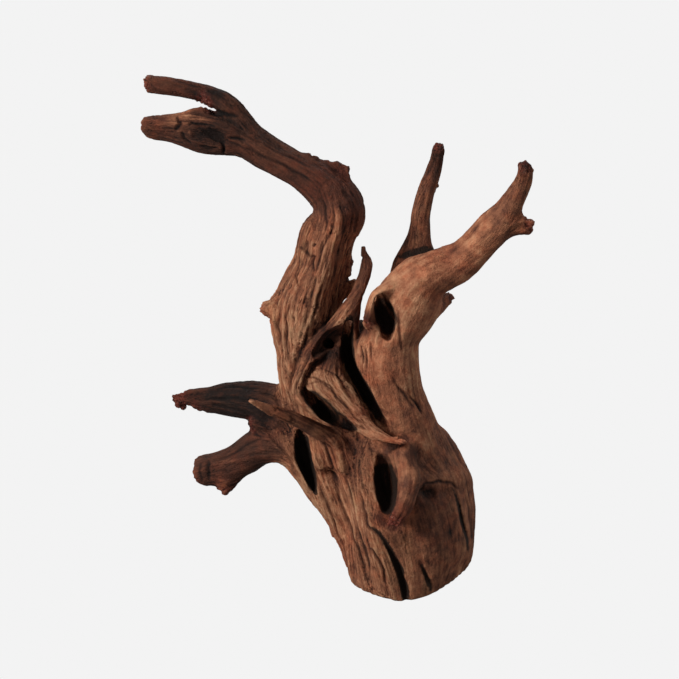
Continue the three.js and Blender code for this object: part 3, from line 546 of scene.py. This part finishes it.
# Each mark: the line it follows as seen, (right, up), how deep it is cut (below zero: how high it
# stands) and half its width.
MARKS = [
    ([(-4, 70), (-1.5, 64), (-0.3, 57.5), (-1.8, 51), (-5, 47.5)], -0.5, 1.9),
    ([(-3.6, 68), (-3, 62.5), (-3.4, 56), (-5.4, 51), (-8, 46.5), (-9.3, 42.5), (-10.5, 37.5),
      (-12.2, 33)], 0.8, 0.7),
    ([(-1, 70), (1.6, 63), (2.2, 56), (0, 49.5)], 0.5, 0.7),
    ([(-10, 72), (-7, 66), (-6.4, 58), (-8, 52)], 0.4, 0.6),
    ([(-16, 50), (-17.5, 47.5), (-18.2, 45)], 0.8, 0.8),
    ([(-20.5, 46), (-17.5, 44.5), (-15, 42), (-11.5, 41)], 0.6, 0.9),
    ([(-12, 48), (-13.6, 46.5)], 1.0, 0.7),
    ([(-12.5, 42), (-14, 38), (-13, 34)], 1.0, 0.8),
    ([(-20, 36), (-21.5, 31), (-20, 26)], 0.9, 0.7),
    ([(-12, 30), (-14, 21), (-17, 10), (-20, 0)], 0.8, 0.8),
    ([(-24, 18), (-27, 10), (-27, -2), (-25, -10)], 0.8, 0.8),
    ([(-30, 13), (-31.5, 6), (-30.5, -3)], 0.9, 0.8),
    ([(-9, 28), (-11, 18), (-14.5, 8)], 0.9, 0.8),
    ([(-15, 8), (-17, 0), (-20.5, -8), (-24, -17), (-24.5, -26)], 1.3, 1.0),
    ([(-13, -5), (-18.6, -15), (-21.6, -22.5), (-22, -29)], 1.2, 0.8),
    ([(-20, -17), (-13, -19), (-5, -24), (2, -31), (8, -39)], 0.35, 0.5),
    ([(-18, -22), (-10, -21.5), (-2, -27.5), (5, -36), (12, -42)], 0.4, 0.5),
    ([(-9, -14), (-3, -17), (4, -24), (8, -31)], 0.35, 0.5),
    ([(-65.4, -59.5), (-66.4, -65), (-65.2, -71)], 1.1, 1.1),
    ([(-69.4, -61), (-70.4, -66), (-69, -72)], 0.4, 0.7),
    ([(-15, 7), (-17.5, -3), (-20.5, -12)], 0.7, 0.6),
    ([(-2, 22), (-5, 12), (-9, 2)], 0.8, 0.8),
    ([(8, -92), (13, -104), (15.5, -118)], 0.7, 0.7),
    ([(-8, -50), (-4.5, -62), (0, -74)], 0.7, 0.7),
    ([(10.5, -3), (12, -12)], 1.0, 0.6),
    ([(12.5, -4), (13.4, -14)], 0.9, 0.6),
    ([(15, -1), (15.6, -11)], 0.8, 0.6),
    ([(29, 15), (30, 4), (31, -6)], 0.6, 0.8),
    ([(35, -28), (38, -32.5), (41, -36.5)], 1.1, 0.8),
    ([(26, -18), (32, -27), (37, -35)], 0.6, 1.0),
    ([(9.5, -75), (11, -85), (14, -92.5), (18.5, -98)], 1.2, 0.8),
    ([(15, -104), (19, -110), (22, -116), (23, -122.5)], 1.3, 0.8),
    ([(-4, -65), (0, -80), (6, -95), (11, -110), (15, -125)], 0.9, 1.0),
    ([(2, -62), (5, -76), (8, -86)], 0.8, 0.8),
    ([(-12, -66), (-8, -78), (-3, -92), (2, -104)], 0.9, 0.8),
    ([(63, -78), (66, -90), (67.5, -104)], 0.9, 0.8),
    ([(40, -75), (44, -72.4), (50, -71.2), (56, -72), (60, -75.5)], 0.8, 0.9),
    ([(-81, 111.5), (-79.5, 108), (-82, 104.5)], 1.3, 0.9),
    ([(-75.5, 106.5), (-73.5, 108.2), (-69, 107.5), (-62, 106)], 1.2, 0.8),
    ([(-79, 104), (-77.5, 100), (-74, 97.5)], 1.2, 0.9),
    ([(-74.5, 104.5), (-73.2, 101.5)], -1.4, 1.4),
    ([(-58.6, 100), (-57.6, 96), (-57.6, 91.5)], 1.5, 0.8),
    ([(-56, 101), (-51, 100.5), (-46.5, 98.5)], 1.0, 0.7),
    ([(-67, 114.2), (-58, 113), (-50, 112)], 1.5, 1.0),
    ([(-70, 97), (-64, 95.5), (-60, 96)], 1.0, 0.8),
    ([(-46, 96), (-34, 90), (-22, 84), (-12, 78)], 0.4, 0.8),
    ([(-38, 98), (-26, 92), (-14, 86)], 0.4, 0.8),
    ([(-70, -31), (-56, -29), (-40, -30)], 0.9, 0.8),
    ([(-62, -25), (-50, -23.5), (-36, -25)], 0.7, 0.8),
    ([(-66, -60), (-52, -57), (-38, -48)], 0.3, 0.8),
    ([(-45, -38), (-44, -43), (-41.5, -47), (-37, -49)], 1.1, 0.8),
]

# Lines where the painted shade of the holes is lifted: along the first, a painted glint on a shiny
# edge in the column hole; along the others, paler streaks on the walls. Each: the line as seen and
# half its width.
PALE_STREAKS_AND_GLINT = [
    ([(21.5, 19), (24.5, 15), (28.5, 8.5)], 0.5), ([(24.4, -63), (25, -69), (26.6, -76)], 0.4),
    ([(-10, -29), (-5, -33.5), (-1.5, -38)], 0.5), ([(22.6, -66), (23.4, -73)], 0.3),
]

# Each stain: (right, up, half width, half height, change of tone) as seen.
STAINS = [
    (24.5, -11, 4.5, 7, -0.55), (29, -2, 4, 5, -0.25), (13, -8, 4, 9, 0.25), (36, -58, 4, 4, -1.0),
    # (45, -78): painted shadow under the ledge right of the hook.
    (28, -56, 8, 2.5, -0.3), (40, -54, 8, 5, 0.9), (14, -52, 8, 5, -0.35), (45, -78, 7, 8, -0.65),
    (42, -92, 5, 14, -0.3), (60.5, -116, 1.6, 4, 1.2), (52, -122, 5, 6, -0.2),
    # (-79, 112) and (-70, 110): painted highlight on the top of the lower prong.
    (-65, 102, 6.5, 4.5, -0.4), (-79, 112, 7, 4, 0.8), (-70, 110, 6, 3, 0.8), (8, 60, 6, 12, -0.1),
    # (71, 43.5): a painted highlight fleck on the right arm.
    (-11, 62, 7, 8, 0.1), (-12, 48, 10, 8, 0.3), (-2.5, 56, 2, 8, 0.4), (71, 43.5, 1, 1, 0.9),
    # (-5, -10): painted shade in the recess between the left arm and the horn, over darker wood.
    (27, 34, 5, 8, 0.3), (20, 26, 3, 4, 0.3), (-5, -10, 9, 8, -0.8), (1, 10, 5, 8, 0.6),
    # (20.5, -89): painted shade below the knot hole. (3.5, -42.5): painted shade in the cavity.
    # (-1, 2): painted shade in the recess between the left arm and the horn, over darker wood.
    (20.5, -89, 3, 4, -1.2), (3.5, -42.5, 6, 3, -1.7), (-38, -38, 5, 4, -0.5), (-1, 2, 8, 5, -1.0),
    (14, -118, 9, 10, 0.15), (8, -60, 6, 12, -0.25), (34, -40, 6, 8, -0.25), (55, -50, 7, 10, -0.3),
    (48, 22, 5, 5, -0.3), (56, 21, 4, 5, -1.3), (36, 41.5, 8, 2, -0.2), (-24, 20, 5, 10, -0.2),
    # (-17, -58): painted shade along the side slit.
    (-37, 13, 5, 5, 0.2), (-17, -58, 3, 12, -0.5), (-27, -63, 5, 4, 1.6), (-19.5, -76, 4, 7, 1.5),
    (-10.5, -86, 4, 9, 1.0), (33, 18, 4, 3, -0.2), (66, 36, 8, 3, -0.25), (8, -62, 6, 10, -0.6),
    (12, -114, 6, 9, -0.3), (27, -116, 4, 12, -0.2), (50, -98, 9, 14, -0.4), (-18, 5, 6, 9, 0.6),
    (-30, 28, 5, 9, -0.2), (5, -87, 6, 10, 0.8), (12.5, 8.5, 5, 7, -2.0), (64, -92, 4, 12, 0.5),
    (18, -8, 6, 10, 0.3), (-66, 122, 10, 5, -0.7), (37, -56, 6, 4, -0.4), (91, 88, 4, 3, -1.3),
    (-67, -66, 3, 7, -0.3), (-60, 104, 9, 6, -0.3), (-24, 83, 10, 6, -0.15), (-10, 74, 6, 6, -0.2),
    (-66, 125, 4, 2, 0.6), (-60, -73, 4, 4, 0.7), (-57, -60, 5, 3, 0.3),
]

# Each broken end: where it is, how far the damage reaches and how rough it is.
BROKEN_ENDS = [
    (-97, 128, 37, 6, 0.9), (-97, 106.5, 34, 6, 0.6), (-82, -30.5, 36, 13, 0.85),
    (-72, -66, 24, 10, 0.7), (-58.5, -76, 15, 8, 0.6), (26.5, -91, -38, 9, 0.8),
    (97, 56, -20, 9, 0.65), (93, 87, -22, 7, 0.55), (50, 97, 20, 5, 0.8), (33.5, -53, -34, 6, 0.6),
    (10, -37, -19, 6, 1.0), (-39.5, 14.5, 5, 6, 0.6), (55, 21, 11, 6, 0.8), (11, -79.5, 45, 9, 1.2),
    (6, 37.5, 4, 5, 0.8), (3, 86, 9, 9, 0.25), (-67, 119, 29, 8, 0.8), (-43, -42.5, 10, 6, 0.6),
    (14, 9, -17, 7, 0.6), (-70, -34, 30, 9, 0.5),
]

# Each red place: (right, up, half width, half height, how red) as seen.
RED_PLACES = [
    (-8, 80, 22, 12, 0.8), (6, 62, 9, 18, 0.8), (-2, 55, 10, 12, 0.5), (-36, 12, 7, 7, 0.9),
    (-80, 126, 20, 6, 0.6), (-92, 106, 8, 6, 0.6), (0, -106, 6, 14, 0.9), (27, -88, 9, 8, 0.9),
    (16, -14, 6, 14, 0.7), (-58, -72, 12, 10, 0.7), (95, 56, 8, 8, 0.8), (40, -35, 7, 8, 0.4),
    (-4, -62, 8, 10, 0.5), (24, 40, 9, 7, 0.4), (-76, -29, 8, 6, 0.8), (0, 88, 10, 4, 0.6),
    (26, -50, 8, 4, 0.8), (9, -36, 6, 6, 0.6), (55, 32, 42, 26, 0.4), (20, -20, 10, 24, 0.35),
]


HOLE_EDGE = (1.03, 1.14)
WANDER = 0.8


def inside_hole(points, stations):
    """1 on the wall of a hole and 0 outside: the distance from the hole's line, measured in
    half widths across the view and in half depths along it, falls through HOLE_EDGE."""
    line = np.array([s[:3] for s in stations], float)
    size = np.array([s[3:] for s in stations], float)
    flat = np.concatenate([seen_at(points), points[:, 1:2]], axis=1)
    best = np.full(len(points), np.inf)
    for k in range(len(stations) - 1):
        step = line[k + 1, :2] - line[k, :2]
        share = np.clip((flat[:, :2] - line[k, :2]) @ step / (step @ step), 0, 1)[:, None]
        gap = flat - line[k] - share * (line[k + 1] - line[k])
        across, deep = (size[k] + share * (size[k + 1] - size[k])).T
        aside = np.hypot(gap[:, 0], gap[:, 1])
        best = np.minimum(best, np.hypot(aside / across, gap[:, 2] / deep))
    return 1 - ramp(best + 0.06 * noise(points, 2.5, 63), *HOLE_EDGE)


def along_mark(place, facing, line, half_width):
    """How strongly a mark shows at each corner: a bell over the distance from its line as seen,
    thinner towards both ends, and only where the skin faces the viewpoint."""
    line = np.array(line, float)
    best, spot = np.full(len(place), np.inf), np.zeros(len(place))
    for k in range(len(line) - 1):
        step = line[k + 1] - line[k]
        share = np.clip((place - line[k]) @ step / (step @ step), 0, 1)
        gap = np.linalg.norm(place - line[k] - share[:, None] * step, axis=1)
        spot = np.where(gap < best, (k + share) / (len(line) - 1), spot)
        best = np.minimum(best, gap)
    taper = np.sqrt(np.clip(4 * spot * (1 - spot), 0, 1))
    return np.exp(-((best / (half_width * (0.4 + 0.6 * taper))) ** 2)) * taper * facing


place = seen_at(points)
wander = np.stack([noise(points, 6, 51), noise(points, 6, 52)], axis=1) * WANDER
facing = ramp(outward @ TOWARDS_EYE, 0.02, 0.3)
# The hole mask: painted shade that turns the walls of holes, clefts and cracks nearly black.
painted_hole_shade = np.max([inside_hole(points, stations) for stations in HOLES.values()], axis=0)
# Lift the painted hole shade along these lines: a painted glint and paler streaks.
for line, half_width in PALE_STREAKS_AND_GLINT:
    painted_hole_shade = painted_hole_shade * (1 - 0.7 * along_mark(place, 1.0, line, half_width))
mark_depth, mark_shade = np.zeros(len(points)), np.zeros(len(points))
for line, depth, half_width in MARKS:
    shown = along_mark(place + wander, facing, line, half_width)
    mark_depth += depth * shown
    mark_shade = np.maximum(mark_shade, shown * (depth > 0))
for right, up, wide, tall, change in STAINS:
    offset = (place + 2 * wander - (right, up)) / (wide, tall)
    # A few stains are painted shade and painted highlights, so the tone carries painted light as
    # well as the wood's own colour.
    tone_and_painted_light += change * facing * np.exp(-(offset**2).sum(1))
red = np.zeros(len(points))
for right, up, wide, tall, strength in RED_PLACES:
    offset = (place + 3 * wander - (right, up)) / (wide, tall)
    red = np.maximum(red, strength * np.exp(-((offset**2).sum(1))))
torn = np.zeros(len(points))
for right, up, back, reach, rough in BROKEN_ENDS:
    gap = np.linalg.norm(points - seen(right, up, back), axis=1)
    gap = gap + 1.5 * noise(points, 3, 61)
    torn = np.maximum(torn, rough * (1 - ramp(gap, 0.4 * reach, reach)))
print("corners in holes:", int((painted_hole_shade > 0.5).sum()), "in broken ends:", int((torn > 0.5).sum()))

# %% [markdown]
# ## Carving the surface
# The heights of all patterns are added up and each corner moves outwards by the sum. Splits and
# hairlines follow the places where a fibre pattern is near zero, so they run along the grain and
# fade in and out. Nothing moves at the sawn foot, which stays flat. The skin is then kept a hair,
# `BOX_GAP` millimetres, inside the solid's box, and at the foot it may touch the floor.

# %% Heights of the patterns
SAWN_EDGE = 3.0
BOX_GAP = 0.05

hairlines = np.exp(-((strands / 0.22) ** 2)) * ramp(lumps(points, 9, 71), 0.5, 1.3)
splits = np.exp(-((ridges / 0.14) ** 2)) * ramp(lumps(points, 16, 75), 0.5, 1.2)
pits = ramp(flecks, 1.3, 2.3) * ramp(lumps(points, 14, 79), -0.4, 0.6)
height = coarse * (0.24 * ridges + 0.24 * strands + 0.2 * threads)
height -= coarse * (0.7 * hairlines + 1.1 * splits + 1.1 * pits)
height += 0.09 * lumps(points, 7, 83) + 0.04 * threads
height -= mark_depth
height += torn * (0.6 * lumps(points, 2.2, 87) + 0.4 * strands)
height *= 1 - 0.6 * painted_hole_shade
height *= ramp(points[:, 2], 0.3, SAWN_EDGE)
low, high = np.array(solid_box) * 1000
points = points + height[:, None] * outward
points = np.clip(points, low + (BOX_GAP, BOX_GAP, 0), high - BOX_GAP)
put_corners(wood.data, points)
print("heights from", round(float(height.min()), 2), "to", round(float(height.max()), 2))

# %% [markdown]
# ## What the material will need
# The patterns are stored on the mesh as one number for each corner, under names that a material can
# read. Two of them say how far a corner lies below the mean of the skin around it, over a small
# patch and over a wide one. The material paints shade with them: low corners in creases and hollows
# are painted darker, and high corners on edges are painted lighter, a painted highlight. The `lie`
# of a corner in its limb lets the material draw fibres finer than the mesh.

# %% Store the patterns on the mesh


def put_field(mesh, name, values):
    """Stores one number, or one arrow, for each corner under a name that a material can read."""
    kind, key = ("FLOAT", "value") if values.ndim == 1 else ("FLOAT_VECTOR", "vector")
    layer = mesh.attributes.new(name, kind, "POINT")
    layer.data.foreach_set(key, np.asarray(values, np.float32).ravel())


def below_mean(points, outward, near, rounds):
    """How many millimetres the mean of the skin around each corner stands above the corner."""
    return ((averaged(points, near, rounds) - points) * outward).sum(1)


outward = outward_of(wood.data)
# Painted shade and highlight: the material darkens corners that lie below the mean of the skin
# around them and lightens those that stand above it.
crease_shade_edge_light = even(below_mean(points, outward, near, 10))
painted_hollow_shade = even(np.clip(below_mean(points, outward, near, 90), -3, 3))
# Painted shade: hairline cracks, splits, pits and cut marks are painted darker in the material.
painted_crack_shade = np.maximum(np.maximum(hairlines, splits) * coarse * 1.3, pits * coarse)
stored = {
    "tone_and_painted_light": tone_and_painted_light, "strands": strands, "threads": threads, "ridges": ridges, "crease_shade_edge_light": crease_shade_edge_light,
    "painted_hollow_shade": painted_hollow_shade, "painted_hole_shade": painted_hole_shade, "torn": torn, "coarse": coarse, "lie": lie,
    "painted_crack_shade": np.clip(np.maximum(painted_crack_shade, mark_shade), 0, 1),
    "red": red,
    "sawn": (1 - ramp(points[:, 2], 0.02, 0.4)) * ramp(-outward[:, 2], 0.5, 0.9),
}
for name, values in stored.items():
    put_field(wood.data, name, values)
print("stored:", ", ".join(stored))

# %% [markdown]
# ## Thinning
# A mesh this fine is only needed where the skin is rough. Decimation joins corners where the skin
# is nearly flat and keeps them along cracks and ridges.

# %% Thin the skin
LARGEST_COUNT = 196_000
triangles = sum(len(p.vertices) - 2 for p in wood.data.polygons)
thin = wood.modifiers.new("thin", "DECIMATE")
thin.ratio = min(1, LARGEST_COUNT / triangles)
apply_modifiers(wood)
wood.data.polygons.foreach_set("use_smooth", [True] * len(wood.data.polygons))
print("triangles before and after:", triangles, len(wood.data.polygons))

# %% [markdown]
# ## The wood's colours
# The colour starts from the tone of the limb, in which a few stains are painted shade and painted
# highlights. The fibres shift it up and down, which gives streaks, and slow noise gives stained
# patches.
# Then comes painted shade: skin that lies low is painted darker and raised edges lighter, cracks
# and pits are painted darker, and holes nearly black. The broken ends get the red of fresh wood
# with pale specks, and the sawn foot shows its rings.

# %% Material of the wood


class Paint:
    """A short way to write a node tree: each call adds one node and returns its output."""

    def __init__(self, name):
        self.material = bpy.data.materials.new(name)
        self.material.use_nodes = True
        self.tree = self.material.node_tree
        self.shader = self.tree.nodes["Principled BSDF"]

    def feed(self, socket, value):
        """Links an output into a socket, or sets the socket to a number or colour."""
        if isinstance(value, bpy.types.NodeSocket):
            self.tree.links.new(value, socket)
        else:
            socket.default_value = value

    def math(self, operation, a, b=0.0, clamp=False):
        node = self.tree.nodes.new("ShaderNodeMath")
        node.operation = operation
        node.use_clamp = clamp
        self.feed(node.inputs[0], a)
        self.feed(node.inputs[1], b)
        return node.outputs[0]

    def total(self, *terms):
        """The sum of values, each given with the factor it counts by."""
        result = 0.0
        for value, factor in terms:
            result = self.math("ADD", result, self.math("MULTIPLY", value, factor))
        return result

    def field(self, name, output="Fac"):
        node = self.tree.nodes.new("ShaderNodeAttribute")
        node.attribute_name = name
        return node.outputs[output]

    def place(self):
        return self.tree.nodes.new("ShaderNodeTexCoord").outputs["Object"]

    def stretched(self, across, along):
        """The lie of the wood, in units of `across` millimetres over the grain and `along`
        millimetres down it."""
        node = self.tree.nodes.new("ShaderNodeVectorMath")
        node.operation = "MULTIPLY"
        self.tree.links.new(self.field("lie", "Vector"), node.inputs[0])
        node.inputs[1].default_value = (1 / across, 1 / across, 1 / along)
        return node.outputs[0]

    def noise(self, vector, scale=1.0, detail=3.0, roughness=0.5):
        """Noise from about -0.5 to 0.5."""
        node = self.tree.nodes.new("ShaderNodeTexNoise")
        self.tree.links.new(vector, node.inputs["Vector"])
        node.inputs["Scale"].default_value = scale
        node.inputs["Detail"].default_value = detail
        node.inputs["Roughness"].default_value = roughness
        return self.math("SUBTRACT", node.outputs["Fac"], 0.5)

    def spread(self, value, low, high, to_low=0.0, to_high=1.0):
        node = self.tree.nodes.new("ShaderNodeMapRange")
        node.interpolation_type = "SMOOTHSTEP"
        self.feed(node.inputs["Value"], value)
        for name, number in [("From Min", low), ("From Max", high), ("To Min", to_low),
                             ("To Max", to_high)]:
            node.inputs[name].default_value = number
        return node.outputs["Result"]

    def mix(self, share, a, b, blend="MIX"):
        node = self.tree.nodes.new("ShaderNodeMix")
        node.data_type = "RGBA"
        node.blend_type = blend
        self.feed(node.inputs[0], share)
        self.feed(node.inputs[6], a)
        self.feed(node.inputs[7], b)
        return node.outputs[2]

    def ramp(self, value, stops):
        node = self.tree.nodes.new("ShaderNodeValToRGB")
        self.feed(node.inputs["Fac"], value)
        elements = node.color_ramp.elements
        while len(elements) < len(stops):
            elements.new(0.5)
        for element, (position, colour) in zip(elements, stops):
            element.position = position
            element.color = (*colour, 1)
        return node.outputs["Color"]


TONES = [(0.0, (0.013, 0.0058, 0.0045)), (0.33, (0.113, 0.0405, 0.0235)),
         (0.67, (0.325, 0.132, 0.070)), (1.0, (0.55, 0.29, 0.165))]
FRESH_RED = (0.19, 0.034, 0.021, 1)
PALE_SPECK = (0.42, 0.21, 0.15, 1)
# Nearly black: dark specks of rotten wood in the broken ends, and the painted shade inside holes,
# clefts and cracks.
ROT_AND_HOLE_SHADE = (0.0125, 0.0066, 0.0044, 1)
SAWN = (0.34, 0.19, 0.11, 1)
RING = (0.20, 0.10, 0.055, 1)
RING_GRIT = (0.1, 0.06, 0.04, 1)

# These multiply the colour under them.
RED_TINT = (1.0, 0.72, 0.66, 1)
REDDISH_TINT = (1.15, 0.88, 0.80, 1)
GREYISH_TINT = (0.92, 1.04, 1.0, 1)
# The crack tint multiplies the colour in cracks, pits and cut marks: painted shade.
CRACK_SHADE_TINT = (0.15, 0.11, 0.10, 1)

paint = Paint("weathered_wood")
patches = paint.noise(paint.place(), 1000 / 24, 4)
mottle = paint.noise(paint.place(), 1000 / 5, 5)
grit = paint.noise(paint.place(), 1000 / 0.9, 3)
hair = paint.noise(paint.stretched(0.4, 4), 1, 3, 0.6)
fine = paint.noise(paint.stretched(0.9, 8), 1, 4, 0.7)
streaks = paint.noise(paint.stretched(3, 40), 1, 4, 0.6)
lines = paint.math("ABSOLUTE", paint.noise(paint.stretched(1.6, 14), 1, 2, 0.6))
broken = paint.spread(paint.noise(paint.stretched(9, 30), 1, 2), 0.02, 0.12)
lines = paint.math("MULTIPLY", paint.spread(lines, 0.022, 0.0), broken)
lines = paint.math("MULTIPLY", lines, paint.spread(paint.field("coarse"), 0.05, 0.5, 0.25, 1))
fibre = paint.spread(paint.field("coarse"), 0.05, 0.6, 0.2, 1)
smooth = paint.spread(paint.field("coarse"), 0.1, 0.5, 0.8, 0.36)
shift = paint.total(
    (paint.field("strands"), 0.014), (paint.field("threads"), 0.022),
    (paint.math("MULTIPLY", fine, fibre), 0.76), (paint.math("MULTIPLY", hair, fibre), 0.45),
    (paint.math("MULTIPLY", streaks, fibre), 0.45), (patches, 0.42),
    # The last term of this line and the first of the next: painted shade in creases and hollows,
    # and a painted highlight on raised edges.
    (paint.math("MULTIPLY", mottle, smooth), 1.0), (grit, 0.27), (paint.field("crease_shade_edge_light"), -0.05),
    (paint.field("painted_hollow_shade"), -0.045), (lines, -0.26),
)
shift = paint.math("MULTIPLY", shift, paint.spread(paint.field("tone_and_painted_light"), 0.1, 1.7, 0.5, 1.2))
level = paint.math("ADD", paint.math("DIVIDE", paint.field("tone_and_painted_light"), 3.0), shift, clamp=True)
colour = paint.ramp(level, TONES)
colour = paint.mix(paint.field("red"), colour, RED_TINT, "MULTIPLY")
reddish = paint.spread(paint.noise(paint.place(), 1000 / 6, 4, 0.6), -0.05, 0.15, 0.0, 0.55)
colour = paint.mix(reddish, colour, REDDISH_TINT, "MULTIPLY")
greyish = paint.spread(paint.noise(paint.stretched(6, 30), 1, 3), 0.02, 0.2, 0.0, 0.6)
colour = paint.mix(greyish, colour, GREYISH_TINT, "MULTIPLY")
# Painted shade in cracks, pits and cut marks.
colour = paint.mix(paint.math("MULTIPLY", paint.field("painted_crack_shade"), 0.85), colour, CRACK_SHADE_TINT,
                   "MULTIPLY")
specks = paint.noise(paint.place(), 1000 / 1.3, 3)
speckled = paint.mix(paint.spread(specks, 0.1, 0.19), FRESH_RED, PALE_SPECK)
speckled = paint.mix(paint.spread(specks, -0.05, -0.14), speckled, ROT_AND_HOLE_SHADE)
colour = paint.mix(paint.math("MULTIPLY", paint.field("torn"), 0.75, clamp=True), colour, speckled)
# Painted shade: holes, clefts and cracks are painted nearly black inside.
colour = paint.mix(paint.math("MULTIPLY", paint.field("painted_hole_shade"), 0.95), colour, ROT_AND_HOLE_SHADE)
growth = paint.tree.nodes.new("ShaderNodeTexWave")
growth.wave_type = "RINGS"
growth.rings_direction = "Z"
growth.inputs["Scale"].default_value = 110
growth.inputs["Distortion"].default_value = 3
growth.inputs["Detail Scale"].default_value = 1.2
paint.feed(growth.inputs["Vector"], paint.place())
rings = paint.mix(paint.math("MULTIPLY", growth.outputs["Fac"], 0.8), SAWN, RING)
rings = paint.mix(paint.spread(grit, 0.0, 0.3, 0.0, 0.5), rings, RING_GRIT)
colour = paint.mix(paint.field("sawn"), colour, rings)
paint.feed(paint.shader.inputs["Base Color"], colour)
gloss = paint.total((mottle, 0.3), (patches, 0.3), (fine, 0.3))
gloss = paint.math("ADD", gloss, paint.spread(paint.field("torn"), 0.2, 0.9, 0.74, 0.5))
paint.feed(paint.shader.inputs["Roughness"], gloss)
paint.shader.inputs["Specular IOR Level"].default_value = 0.22
relief = paint.total((grit, 0.7), (paint.math("MULTIPLY", fine, fibre), 2.2), (lines, -1.2),
                     (specks, 0.4), (streaks, 0.3), (paint.math("MULTIPLY", hair, fibre), 0.8))
bump = paint.tree.nodes.new("ShaderNodeBump")
bump.inputs["Strength"].default_value = 0.9
bump.inputs["Distance"].default_value = 0.0008
paint.feed(bump.inputs["Height"], relief)
paint.feed(paint.shader.inputs["Normal"], bump.outputs["Normal"])
wood.data.materials.clear()
wood.data.materials.append(paint.material)
print("nodes in the wood:", len(paint.tree.nodes))

# %% [markdown]
# ## Floor, room and lamps
# The wood stands on a plain pale floor in a plain pale room. The floor shows the camera one even
# tone. One soft lamp stands to the left, a little in front of the wood and above it, so the left
# side of every limb is bright and the right side falls into shade. The room itself gives little
# light, and two weak lamps, on the right and behind, keep those sides from going black.

# %% Floor, room and lamps
BACKDROP = (0.896, 0.896, 0.896, 1)
FLOOR_BOUNCE = (0.25, 0.25, 0.25, 1)
ROOM_LIGHT = (1, 0.97, 0.94, 1)
ROOM_STRENGTH = 0.22
HALF_FLOOR = 6
LAMP_DISTANCE = 3.0


def by_ray(tree, for_camera, for_light, output):
    """Shows one shader to the camera and another to every other ray."""
    path = tree.nodes.new("ShaderNodeLightPath")
    pick = tree.nodes.new("ShaderNodeMixShader")
    tree.links.new(path.outputs["Is Camera Ray"], pick.inputs["Fac"])
    tree.links.new(for_light.outputs[0], pick.inputs[1])
    tree.links.new(for_camera.outputs[0], pick.inputs[2])
    tree.links.new(pick.outputs[0], output.inputs["Surface"])


floor_mesh = bpy.data.meshes.new("floor")
signs = [(-1, -1), (1, -1), (1, 1), (-1, 1)]
floor_corners = [(HALF_FLOOR * x, HALF_FLOOR * y, 0) for x, y in signs]
floor_mesh.from_pydata(floor_corners, [], [(0, 1, 2, 3)])
floor = bpy.data.objects.new("floor", floor_mesh)
scene.collection.objects.link(floor)
floor_paint = bpy.data.materials.new("floor")
floor_paint.use_nodes = True
tree = floor_paint.node_tree
tree.nodes.clear()
shown = tree.nodes.new("ShaderNodeEmission")
shown.inputs["Color"].default_value = BACKDROP
lit = tree.nodes.new("ShaderNodeBsdfDiffuse")
lit.inputs["Color"].default_value = FLOOR_BOUNCE
by_ray(tree, shown, lit, tree.nodes.new("ShaderNodeOutputMaterial"))
floor_mesh.materials.append(floor_paint)

world = bpy.data.worlds.new("room")
scene.world = world
world.use_nodes = True
tree = world.node_tree
tree.nodes.clear()
shown = tree.nodes.new("ShaderNodeBackground")
shown.inputs["Color"].default_value = BACKDROP
dim = tree.nodes.new("ShaderNodeBackground")
dim.inputs["Color"].default_value = ROOM_LIGHT
dim.inputs["Strength"].default_value = ROOM_STRENGTH
by_ray(tree, shown, dim, tree.nodes.new("ShaderNodeOutputWorld"))


def lamp(name, azimuth, elevation, size, power, colour):
    """A round soft lamp aimed at the middle of the wood. Azimuth 0 is in front, 90 right."""
    data = bpy.data.lights.new(name, "AREA")
    data.shape = "DISK"
    data.size = size
    data.energy = power
    data.color = colour
    piece = bpy.data.objects.new(name, data)
    a, e = math.radians(azimuth), math.radians(elevation)
    way = np.array([math.sin(a) * math.cos(e), -math.cos(a) * math.cos(e), math.sin(e)])
    piece.location = LOOKED_AT / 1000 + LAMP_DISTANCE * way
    piece.rotation_euler = (math.pi / 2 - e, 0, a)
    scene.collection.objects.link(piece)


lamp("key", -58, 28, 0.9, 88, (1, 0.97, 0.92))
lamp("right_fill", 95, 15, 1.6, 18, (1, 0.98, 0.95))
lamp("back_fill", 170, 35, 1.6, 20, (1, 1, 1))
scene.view_settings.view_transform = "Standard"

# %% Hand over
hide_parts("driftwood")
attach(wood, "root")
